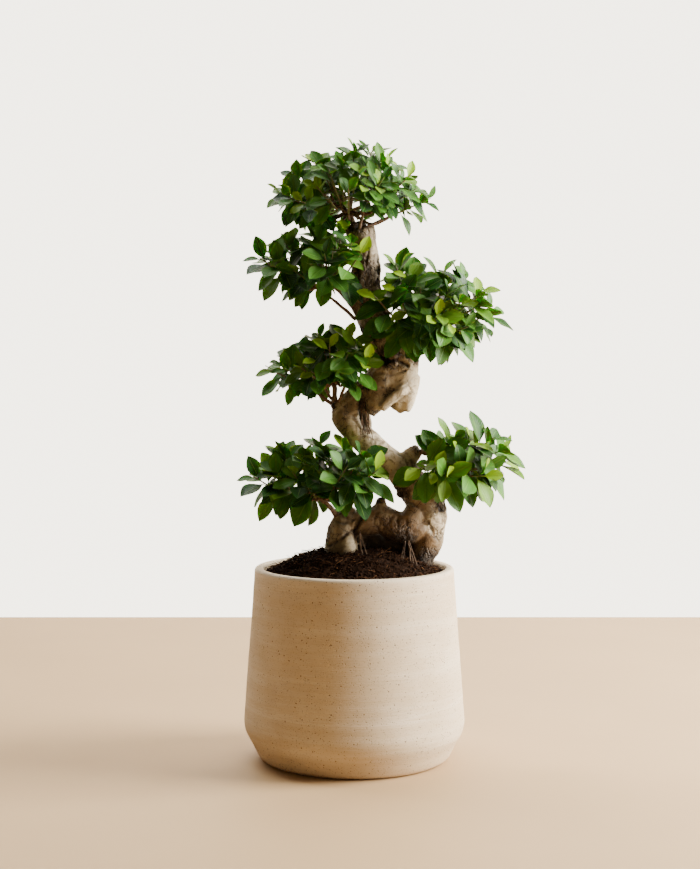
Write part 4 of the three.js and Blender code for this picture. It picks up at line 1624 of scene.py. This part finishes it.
CLOUDS: tuple[Cloud, ...] = (
    Cloud(
        CloudName.CROWN, (1, -3, 738), (-8, -4, 768), 35, 11,
        (
            (-104, -12, 792), (-84, 30, 806), (-72, -46, 778), (-56, 2, 838), (-34, -50, 818), (0, -16, 853),
            (46, 20, 842), (0, 48, 838), (-8, -74, 790), (38, -62, 806), (74, -34, 812), (102, -2, 784),
        ),
        companions=(((4, -14, 738), 11), ((-5, -9, 738), 2), ((-8, 2, 738), 0), ((6, -16, 738), 9)),
    ),
    Cloud(
        CloudName.UPPER_LEFT, (4, -8, 628), (-34, -20, 668), 43, 10,
        (
            (-130, -14, 702), (-94, 26, 714), (-80, -46, 682), (-58, 8, 738), (-40, -62, 702),
            (-18, -36, 734), (8, -54, 706), (-56, 48, 692),
        ),
        companions=(((2, -14, 618), 2), ((4, -10, 642), 6)),
    ),
    Cloud(
        CloudName.RIGHT_MIDDLE, (66, -8, 584), (92, -14, 606), 43, 10,
        (
            (30, -60, 646), (58, -34, 688), (90, -54, 660), (124, 18, 682), (174, -24, 656), (194, 14, 630),
            (112, -66, 622), (152, -52, 606), (58, -54, 614),
        ),
    ),
    Cloud(
        CloudName.LEFT_MIDDLE, (-27, -4, 503), (-30, -6, 536), 38, 10,
        (
            (-114, -10, 546), (-78, 28, 570), (-74, -42, 552), (-50, 6, 592), (-34, -56, 580), (-8, -38, 594),
            (16, -58, 560), (-56, -44, 544),
        ),
        companions=(((-31, -9, 500), 0), ((-22, -12, 503), 6), ((-29, 3, 503), 2)),
    ),
    Cloud(
        CloudName.LOWER_LEFT, (-25, -16, 344), (-50, -26, 372), 45, 10,
        (
            (-138, -18, 398), (-102, 16, 426), (-82, -48, 404), (-50, -6, 442), (-12, -70, 414),
            (-14, -28, 438), (30, -56, 410), (-60, -54, 386),
        ),
    ),
    Cloud(
        CloudName.LOWER_RIGHT, (93, -6, 434), (112, -12, 424), 47, 10,
        ((92, -52, 414), (128, -62, 402), (140, -14, 450), (192, -20, 452), (212, 8, 418), (178, -46, 402)),
        # Paler leaves on this cloud, nearest the window: painted sheen.
        painted_sheen=1.0,
    ),
)


# Round gaps, open to the front, where leaves are pruned so that the wood behind them shows: the cut top, the
# column below it, the crown's twigs, the left cloud's stems, the stub of the first bend and the lowest twigs.
PRUNED: tuple[tuple[Station, Station], ...] = (
    ((10, -14, 741, 15), (10, -70, 745, 15)),
    ((26, -22, 694, 14), (27, -80, 697, 14)),
    ((24, -24, 671, 14), (25, -80, 673, 14)),
    ((-16, -24, 770, 15), (-16, -90, 773, 15)),
    ((-32, -30, 790, 9), (-32, -90, 793, 9)),
    ((-27, -16, 513, 14), (-27, -70, 515, 14)),
    ((85, -20, 426, 11), (86, -80, 427, 11)),
    ((-42, -34, 357, 12), (-42, -80, 358, 12)),
)


class Obstacles:
    """The wood and the gaps that leaves keep clear of, as straight round pieces."""

    reach: float = 110.0

    def __init__(self) -> None:
        """Starts with none."""
        self.pieces: list[tuple[np.ndarray, np.ndarray, float, int]] = []

    def lay(self, points: np.ndarray, radii: Sequence[float], owner: int = 0) -> None:
        """Adds the straight pieces of a line, which belong to a stem's seed or to none."""
        for a, b, near, far in zip(points, points[1:], radii, radii[1:]):
            self.pieces.append((a, b, float(max(near, far)), owner))

    def near(self, stem: Stem) -> tuple[np.ndarray, np.ndarray, np.ndarray]:
        """The starts, ends and radii of the pieces round a stem that aren't its own."""
        others = [p for p in self.pieces if p[3] != stem.seed]
        kept = [p for p in others if np.linalg.norm(p[0] - stem.tip) < self.reach]
        return np.array([p[0] for p in kept]), np.array([p[1] for p in kept]), np.array([p[2] for p in kept])


class Grower:
    """Grows the leaves of every stem, each clear of its neighbours."""

    attempts: int = 11
    neighbourhood: float = 130.0

    def __init__(self, rule: LeafRule, obstacles: Obstacles, lowest: float) -> None:
        """Sets what the leaves obey.

        Args:
            rule: How leaves sit on a stem.
            obstacles: The wood and the gaps.
            lowest: The height that leaves stay above.
        """
        self.rule = rule
        self.obstacles = obstacles
        self.lowest = lowest
        rows = [0.18 + 0.13 * i for i in range(7)]
        self.grid = np.array([(min(u, 0.97), v) for u in rows for v in (-1.0, -0.5, 0.0, 0.5, 1.0)])

    def leaf_frame(self, stem: Stem, k: int, turn: float, tilt: float) -> LeafFrame:
        """One leaf's place.

        Args:
            stem: The stem it grows on.
            k: Its number from the tip down.
            turn: Extra turn round the stem, in radians.
            tilt: Extra opening from the stem, in radians.

        Returns:
            The leaf's frame with its sample points.
        """
        rule = self.rule
        side = unit(np.cross([0.0, 1.0, 0.0], stem.axis))
        front = np.cross(stem.axis, side)
        angle = k * GOLDEN_ANGLE + stem.seed + turn
        age = k / (stem.leaf_count - 1)
        opening = math.radians(mix(rule.narrow_angle, rule.wide_angle, math.sqrt(age))) + tilt
        radial = side * math.cos(angle) + front * math.sin(angle)
        along = unit(stem.axis * math.cos(opening) + radial * math.sin(opening) - UP * rule.hang * age)
        face = stem.axis * math.sin(opening) - radial * math.cos(opening) + rule.light * rule.turn_to_light
        face = unit(face - along * along.dot(face))
        spacing = (stem.reach - rule.bare_length) / (stem.leaf_count - 1)
        base = stem.tip - stem.axis * (spacing * k + 2 * rule.stem_radius)
        length = stem.leaf_length * mix(0.62, 1.0, min(1.0, k / 3))
        length *= mix(0.86, 1.1, chance(stem.seed * 17 + k))
        leaf = LeafFrame(base, along, face, np.cross(along, face), length, k)
        u, v = self.grid[:, 0], self.grid[:, 1]
        width = rule.half_width * length * rule.breadth(u)
        sag = -rule.droop * length * u * u
        leaf.points = base + np.outer(length * u, along) + np.outer(sag, face)
        leaf.points += np.outer(width * v, leaf.side)
        return leaf

    def inside(self, points: np.ndarray, leaves: Sequence[LeafFrame]) -> bool:
        """Whether any point lies in or too near any of the leaves.

        Args:
            points: The points.
            leaves: The leaves, each taken as a plain drooping blade.

        Returns:
            True where one does.
        """
        names = ("base", "along", "face", "side")
        base, along, face, side = (np.array([getattr(l, n) for l in leaves]) for n in names)
        length = np.array([l.length for l in leaves])
        offset = points[:, None, :] - base[None]
        u = np.einsum("pld,ld->pl", offset, along) / length
        breadth = self.rule.breadth(np.clip(u, 0.0, 0.97))
        width = self.rule.half_width * length * breadth + self.rule.clearance * 0.3
        across = np.abs(np.einsum("pld,ld->pl", offset, side))
        height = np.abs(np.einsum("pld,ld->pl", offset, face) + self.rule.droop * length * u * u)
        return bool(((u > 0.02) & (u < 1.0) & (across <= width) & (height < self.rule.clearance)).any())

    def touches(self, leaf: LeafFrame, others: Sequence[LeafFrame]) -> bool:
        """Whether a leaf would touch any of the others."""
        close = [o for o in others if np.linalg.norm(o.base - leaf.base) < o.length + leaf.length]
        if not close:
            return False
        return self.inside(leaf.points, close) or self.inside(np.vstack([o.points for o in close]), [leaf])

    def hits_wood(self, leaf: LeafFrame, wood: tuple[np.ndarray, np.ndarray, np.ndarray]) -> bool:
        """Whether a leaf would touch a twig, a stem or the trunk, or reach into a gap.

        Args:
            leaf: The leaf.
            wood: The starts, ends and radii of the pieces near it.

        Returns:
            True where it would.
        """
        starts, ends, radii = wood
        lines = ends - starts
        offset = leaf.points[:, None, :] - starts[None]
        share = np.einsum("pwd,wd->pw", offset, lines) / np.einsum("wd,wd->w", lines, lines)
        share = np.clip(share, 0.0, 1.0)
        away = np.linalg.norm(offset - share[:, :, None] * lines, axis=2)
        return bool((away < radii + self.rule.clearance).any())

    def grow(self, stems: Sequence[Stem]) -> None:
        """Grows every stem in turn. A leaf that would touch something turns and tilts until it is clear.

        Args:
            stems: The stems, which get their leaves. A leaf that never comes clear is left out.
        """
        grown: list[LeafFrame] = []
        for stem in stems:
            wood = self.obstacles.near(stem)
            neighbours = [g for g in grown if np.linalg.norm(g.base - stem.tip) < self.neighbourhood]
            for k in range(stem.leaf_count):
                for attempt in range(self.attempts):
                    turn = math.radians(11 * math.ceil(attempt / 2)) * (1 if attempt % 2 else -1)
                    tilt = math.radians(4 * attempt) * (1 if attempt % 3 else -1)
                    leaf = self.leaf_frame(stem, k, turn, tilt)
                    if leaf.points[:, 2].min() < self.lowest or self.hits_wood(leaf, wood):
                        continue
                    if self.touches(leaf, neighbours) or self.touches(leaf, stem.leaves):
                        continue
                    stem.leaves.append(leaf)
                    break
            grown.extend(stem.leaves)


@dataclass
class Blade:
    """The pattern of one leaf, one long: a stalk and a thin curved blade."""

    name: str
    fold: float
    curl: float
    wave: float
    lean: float
    half_width: float = 0.264
    thickness: float = 0.010
    droop: float = 0.16
    rows: tuple[float, ...] = (0.0, 0.07, 0.13, 0.20, 0.32, 0.46, 0.60, 0.73, 0.85, 0.94, 1.0)
    columns: tuple[float, ...] = (-1.0, -0.55, 0.0, 0.55, 1.0)

    def outline(self, u: float) -> float:
        """Half the breadth of the leaf, as a share of its length."""
        if u <= 0.13:
            return 0.018
        t = (u - 0.13) / 0.87
        return self.half_width * max(0.03, math.sin(math.pi * t**1.14) ** 0.84) if t < 1 else 0.006

    def build(self) -> Object:
        """Makes the pattern, its top and underside sharing the margin.

        Returns:
            The pattern.
        """
        points, across_along = [], []
        for side in (1, -1):
            for u in self.rows:
                for v in self.columns:
                    if side < 0 and abs(v) == 1:
                        continue
                    points.append(self.place(u, v, side))
                    across_along.append((0.5 + v / 2, u))
        wide, narrow = len(self.columns), len(self.columns) - 2
        tops = len(self.rows) * wide

        def index(row: int, column: int, side: int) -> int:
            """The number of one point."""
            if side > 0 or column in (0, wide - 1):
                return row * wide + column
            return tops + row * narrow + column - 1

        faces, under = [], []
        for side in (1, -1):
            for row in range(len(self.rows) - 1):
                for column in range(wide - 1):
                    corners = [(row, column), (row + 1, column), (row + 1, column + 1), (row, column + 1)]
                    loop = [index(r, c, side) for r, c in corners]
                    faces.append(loop[::-1] if side > 0 else loop)
                    under.append(0.0 if side > 0 else 1.0)
        for row in (0, len(self.rows) - 1):
            ring = [index(row, c, 1) for c in range(wide)]
            ring += [index(row, c, -1) for c in range(wide - 2, 0, -1)]
            faces.append(ring if row == 0 else ring[::-1])
            under.append(1.0)
        obj = mesh_object(self.name, np.array(points), faces)
        layer = obj.data.uv_layers.new(name="blade")
        for loop in obj.data.loops:
            layer.data[loop.index].uv = across_along[loop.vertex_index]
        sides = obj.data.attributes.new("under", "FLOAT", "FACE")
        sides.data.foreach_set("value", under)
        margin = obj.data.attributes.new("sharp_edge", "BOOLEAN", "EDGE")
        for edge in obj.data.edges:
            a, b = edge.vertices
            both = a < tops and b < tops and a % wide == b % wide and a % wide in (0, wide - 1)
            margin.data[edge.index].value = both
        return obj

    def place(self, u: float, v: float, side: int) -> Point:
        """A point of the blade.

        Args:
            u: The share of its length.
            v: The share of its half breadth, from -1 to 1.
            side: 1 on top, -1 underneath.

        Returns:
            The point: x along the blade, y across it, z out of its face.
        """
        half = self.outline(u)
        edge = abs(v)
        rise = self.fold * half * edge + self.curl * half * edge**3 * u
        rise += self.wave * half * edge * math.sin(u * 11.0 + 2.0 * v)
        sag = -self.droop * u * u + self.lean * (u * u * u - u * u)
        thick = 0.009 if u <= 0.13 else self.thickness * (1 - 0.6 * edge)
        return (u, v * half, sag + rise + side * thick * (1 - edge) * 0.5 - (0.004 if edge < 0.1 else 0.0))


BLADES: tuple[Blade, ...] = (
    Blade("blade_plain", fold=0.24, curl=0.05, wave=0.0, lean=0.0),
    Blade("blade_folded", fold=0.42, curl=-0.10, wave=0.03, lean=0.10),
    Blade("blade_cupped", fold=0.11, curl=0.24, wave=0.02, lean=-0.06, half_width=0.280),
    Blade("blade_wavy", fold=0.26, curl=-0.05, wave=0.09, lean=0.16, half_width=0.246),
)


@dataclass
class Foliage:
    """All the branches and leafy shoots."""

    rule: LeafRule
    soil: Soil

    def grow(self) -> dict[CloudName, list[Shoot]]:
        """Places every shoot and grows its leaves, the main stems' first.

        Returns:
            The shoots of each cloud.
        """
        obstacles = Obstacles()
        for stations in LIMBS + HANGING_ROOTS:
            route = Route(stations, 2)
            obstacles.lay(route.points, route.radii)
        for gap in PRUNED:
            obstacles.lay(np.array(gap)[:, :3], np.array(gap)[:, 3])
        clouds = {cloud.name: cloud.shoots(self.rule) for cloud in CLOUDS}
        for cloud in CLOUDS:
            own = clouds[cloud.name]
            routes = [cloud.main_twig(), *(cloud.twig(shoot.main) for shoot in own)]
            routes += [cloud.companion(root, own[i].main) for root, i in cloud.companions]
            for route in routes:
                obstacles.lay(route.points, route.radii)
            for shoot in own:
                for stem in shoot.stems:
                    obstacles.lay(*stem.line(), owner=stem.seed)
        grower = Grower(self.rule, obstacles, self.soil.edge_height + 22)
        shoots = [shoot for cloud in CLOUDS for shoot in clouds[cloud.name]]
        grower.grow([shoot.main for shoot in shoots] + [stem for shoot in shoots for stem in shoot.sides])
        return clouds

    def branch(self, cloud: Cloud, shoots: Sequence[Shoot], strands: Recipe, palette: Palette) -> Object:
        """The forked branch of one cloud.

        Args:
            cloud: Where it forks.
            shoots: The shoots that its twigs run to.
            strands: The tree that makes tubes.
            palette: The finishes.

        Returns:
            The branch.
        """
        lines = Strands()
        extra = [cloud.companion(root, shoots[i].main) for root, i in cloud.companions]
        for route in [cloud.main_twig(), *(cloud.twig(shoot.main) for shoot in shoots), *extra]:
            lines.lay(*self.knotted(route))
        piece = mesh_object(f"{cloud.name.value}_twigs", np.array(lines.points), (), lines.edges)
        add_values(piece, "girth", np.array(lines.radii) * MM)
        return strands.apply(piece, Sides=8, Finish=palette.twig)

    @staticmethod
    def knotted(route: Route) -> tuple[np.ndarray, np.ndarray]:
        """A route with the slight kinks and swellings of a living twig."""
        kinks = np.array([wobble(Vector(p) * 0.09) for p in route.points]) * 1.1
        kinks[0] = kinks[-1] = 0.0
        swell = np.array([1 + 0.16 * noise.noise(Vector(p) * 0.2) for p in route.points])
        return route.points + kinks, route.radii * swell

    def shoot(
        self, shoot: Shoot, painted_sheen: float, recipe: Recipe, blades: Sequence[Object], palette: Palette
    ) -> Object:
        """One leafy shoot.

        Args:
            shoot: The stems and their leaves.
            painted_sheen: How much paler its tone is than the others'.
            recipe: The tree that sets the leaves.
            blades: The blade patterns.
            palette: The finishes.

        Returns:
            The shoot.
        """
        lines = Strands()
        for stem in shoot.stems:
            lines.lay(*stem.line())
        leaves = [(stem, leaf) for stem in shoot.stems for leaf in stem.leaves]
        points = lines.points + [leaf.base for _, leaf in leaves]
        piece = mesh_object(f"{shoot.name}_leaves", np.array(points), (), lines.edges)
        bare, count = len(lines.points), len(leaves)
        add_values(piece, "girth", np.array(lines.radii + [0.0] * count) * MM)
        marks = piece.data.attributes.new("is_leaf", "BOOLEAN", "POINT")
        marks.data.foreach_set("value", [False] * bare + [True] * count)
        kinds = piece.data.attributes.new("pattern", "INT", "POINT")
        kinds.data.foreach_set("value", [0] * bare + [self.pattern(stem, leaf) for stem, leaf in leaves])
        turns = piece.data.attributes.new("turn", "QUATERNION", "POINT")
        sizes, tone, youth_and_light = [[0.0] * 3] * bare, [0.0] * bare, [0.0] * bare
        for i, (stem, leaf) in enumerate(leaves):
            axes = Matrix([leaf.along, np.cross(leaf.face, leaf.along), leaf.face]).transposed()
            turns.data[bare + i].value = axes.to_quaternion()
            wide = mix(0.92, 1.10, chance(stem.seed * 5.7 + leaf.order))
            sizes.append([leaf.length, leaf.length * wide, leaf.length])
            # A paler tone where a cloud has painted sheen.
            tone.append(min(1.0, chance(stem.seed * 7.3 + leaf.order * 3.1) + 0.25 * painted_sheen))
            youth_and_light.append(self.youth_and_light(stem, leaf))
        add_values(piece, "size", np.array(sizes), "FLOAT_VECTOR")
        add_values(piece, "tone", tone)
        add_values(piece, "youth_and_light", youth_and_light)
        patterns = {f"Blade_{i + 1}": blade for i, blade in enumerate(blades)}
        return recipe.apply(piece, **patterns, Leaf_Finish=palette.leaf, Stem_Finish=palette.stem)

    @staticmethod
    def youth_and_light(stem: Stem, leaf: LeafFrame) -> float:
        """How fresh a leaf is, from 0 to 1: the last ones of a stem that is in growth, and a few others. More
        stems are in growth towards the lit right side: painted light.
        """
        # The chance of growth rises with x, towards the window on the right: painted light.
        growing = smoothstep(0.30, 0.75, np.array(chance(stem.seed * 2.9) + 0.0012 * stem.tip[0]))
        fresh = max(0.0, 1 - leaf.order / 4.5) * float(growing)
        late = 0.0
        if chance(stem.seed * 11.0 + leaf.order) > 0.88:
            late = mix(0.3, 0.6, chance(leaf.order + stem.seed))
        return max(fresh, late)

    @staticmethod
    def pattern(stem: Stem, leaf: LeafFrame) -> int:
        """Which blade pattern a leaf takes: the youngest are folded, the rest are mixed."""
        if leaf.order < 1:
            return 1
        return int(chance(stem.seed * 4.1 + leaf.order * 1.7) * len(BLADES)) % len(BLADES)


# ---- studio


@dataclass
class Studio:
    """A pale floor, a soft window light from the right, and the camera."""

    camera_place: Point = (-6.0, -2310.0, 582.0)
    camera_aim: Point = (-6.0, 0.0, 457.0)
    lens: float = 68.35

    def surroundings(self) -> None:
        """The plain floor, and a wall behind it that only throws light back, so every side can be seen."""
        reach, back, top, rounding = 3000.0, 1500.0, 3200.0, 300.0
        section = [(-3200.0, 0.0), (0.0, 0.0), (back - rounding, 0.0)]
        floor = StudioFloor().material()
        wall = StudioFloor("studio_wall", (0.80, 0.755, 0.68)).material()
        settle(self.strip("studio_floor", section, reach), floor)
        section = [(back - rounding, 0.0)]
        for i in range(1, 13):
            turn = i / 12 * math.pi / 2
            out, down = rounding * math.sin(turn), rounding * math.cos(turn)
            section.append((back - rounding + out, rounding - down))
        section.append((back, top))
        reflector = settle(self.strip("studio_wall", section, reach), wall)
        reflector.visible_camera = False

    @staticmethod
    def strip(name: str, section: Sequence[Flat], reach: float) -> Object:
        """A sheet that follows a section in Y and Z, and runs to both sides."""
        points = [(x, y, z) for y, z in section for x in (-reach, reach)]
        faces = [(2 * i, 2 * i + 1, 2 * i + 3, 2 * i + 2) for i in range(len(section) - 1)]
        return mesh_object(name, np.array(points), faces)

    @staticmethod
    def lamp(name: str, place: Point, aim: Point, size: Flat, power: float, colour: Colour) -> None:
        """Sets up one soft rectangular light.

        Args:
            name: Its name.
            place: Where it stands, in millimetres.
            aim: The point that it faces.
            size: Its width and height, in millimetres.
            power: Its power, in watts.
            colour: Its colour.
        """
        light = bpy.data.lights.new(name, "AREA")
        light.shape = "RECTANGLE"
        light.size, light.size_y = (s * MM for s in size)
        light.energy = power
        light.color = colour
        obj = bpy.data.objects.new(name, light)
        bpy.context.collection.objects.link(obj)
        obj.location = Vector(place) * MM
        obj.rotation_euler = (Vector(aim) - Vector(place)).to_track_quat("-Z", "Y").to_euler()

    @staticmethod
    def backdrop() -> None:
        """A plain pale backdrop in every direction, which lights the plant only faintly."""
        world = bpy.data.worlds.new("studio")
        world.use_nodes = True
        wiring = Wiring(world.node_tree)
        faint = world.node_tree.nodes["Background"]
        faint.inputs["Color"].default_value = (1.0, 0.80, 0.58, 1.0)
        faint.inputs["Strength"].default_value = 0.07
        pale = wiring.add("ShaderNodeBackground", {"Color": (1.0, 0.935, 0.80, 1.0), "Strength": 4.9})
        seen = wiring.add("ShaderNodeLightPath").outputs["Is Camera Ray"]
        both = wiring.add("ShaderNodeMixShader", {0: seen, 1: faint.outputs[0], 2: pale.outputs[0]})
        output = world.node_tree.nodes["World Output"]
        world.node_tree.links.new(both.outputs[0], output.inputs["Surface"])
        bpy.context.scene.world = world

    def build(self) -> None:
        """Sets the floor, the lights, the surroundings and the camera."""
        self.surroundings()
        self.lamp("window", (2200, -60, 1150), (0, 0, 460), (1300, 2000), 380.0, (1.0, 0.98, 0.93))
        self.lamp("room", (-1500, -2600, 2000), (0, 0, 400), (2400, 1800), 9.5, (1.0, 0.84, 0.62))
        self.lamp("wall_wash", (-600, 700, 2700), (-500, 1500, 700), (2600, 500), 115.0, (1.0, 0.99, 0.97))
        self.backdrop()
        data = bpy.data.cameras.new("camera")
        data.sensor_width = 36.0
        data.lens = self.lens
        camera = bpy.data.objects.new("camera", data)
        bpy.context.collection.objects.link(camera)
        camera.location = Vector(self.camera_place) * MM
        look = Vector(self.camera_aim) - Vector(self.camera_place)
        camera.rotation_euler = look.to_track_quat("-Z", "Y").to_euler()
        bpy.context.scene.camera = camera


# ---- the whole plant


def seat(piece: Object, slot: str, *nodes: str) -> None:
    """Fixes a piece to the plant's one body.

    Args:
        piece: The finished piece.
        slot: The name of its finish. It is not used.
        nodes: The nodes that it stands for.
    """
    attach(piece, "root")
    if nodes:
        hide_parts(*nodes)
    LOG.info("%s: %d faces", piece.name, len(piece.data.polygons))


def main() -> None:
    """Builds every piece."""
    logging.basicConfig(level=logging.INFO, format="%(name)s %(message)s")
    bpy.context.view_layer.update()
    palette = Palette()
    Studio().build()
    strands, scatter, leafy = strand_recipe(), scatter_recipe(), shoot_recipe(len(BLADES))

    pot = Pot()
    seat(pot.build(palette), "stoneware", "pot")
    soil = Soil(pot)
    mound, *litter = soil.build(palette, scatter)
    seat(mound, "potting_soil", "soil")
    for piece in litter:
        seat(piece, "potting_soil")
    seat(Trunk().build(palette), "trunk_bark", "trunk")
    roots = RootTuft().lines()
    hanging = mesh_object("hanging_roots", np.array(roots.points), (), roots.edges)
    add_values(hanging, "girth", np.array(roots.radii) * MM)
    seat(strands.apply(hanging, Sides=7, Finish=palette.root), "twig_bark")

    foliage = Foliage(LeafRule(), soil)
    blades = [blade.build() for blade in BLADES]
    grown = foliage.grow()
    for cloud in CLOUDS:
        shoots = grown[cloud.name]
        seat(foliage.branch(cloud, shoots, strands, palette), "twig_bark", f"{cloud.name.value}_branch")
        for shoot in shoots:
            seat(foliage.shoot(shoot, cloud.painted_sheen, leafy, blades, palette), "foliage", shoot.name)
    for blade in blades:
        discard(blade)
    stems = [stem for group in grown.values() for shoot in group for stem in shoot.stems]
    LOG.info("leaves: %d", sum(len(stem.leaves) for stem in stems))

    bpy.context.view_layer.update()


if __name__ == "__main__":
    main()
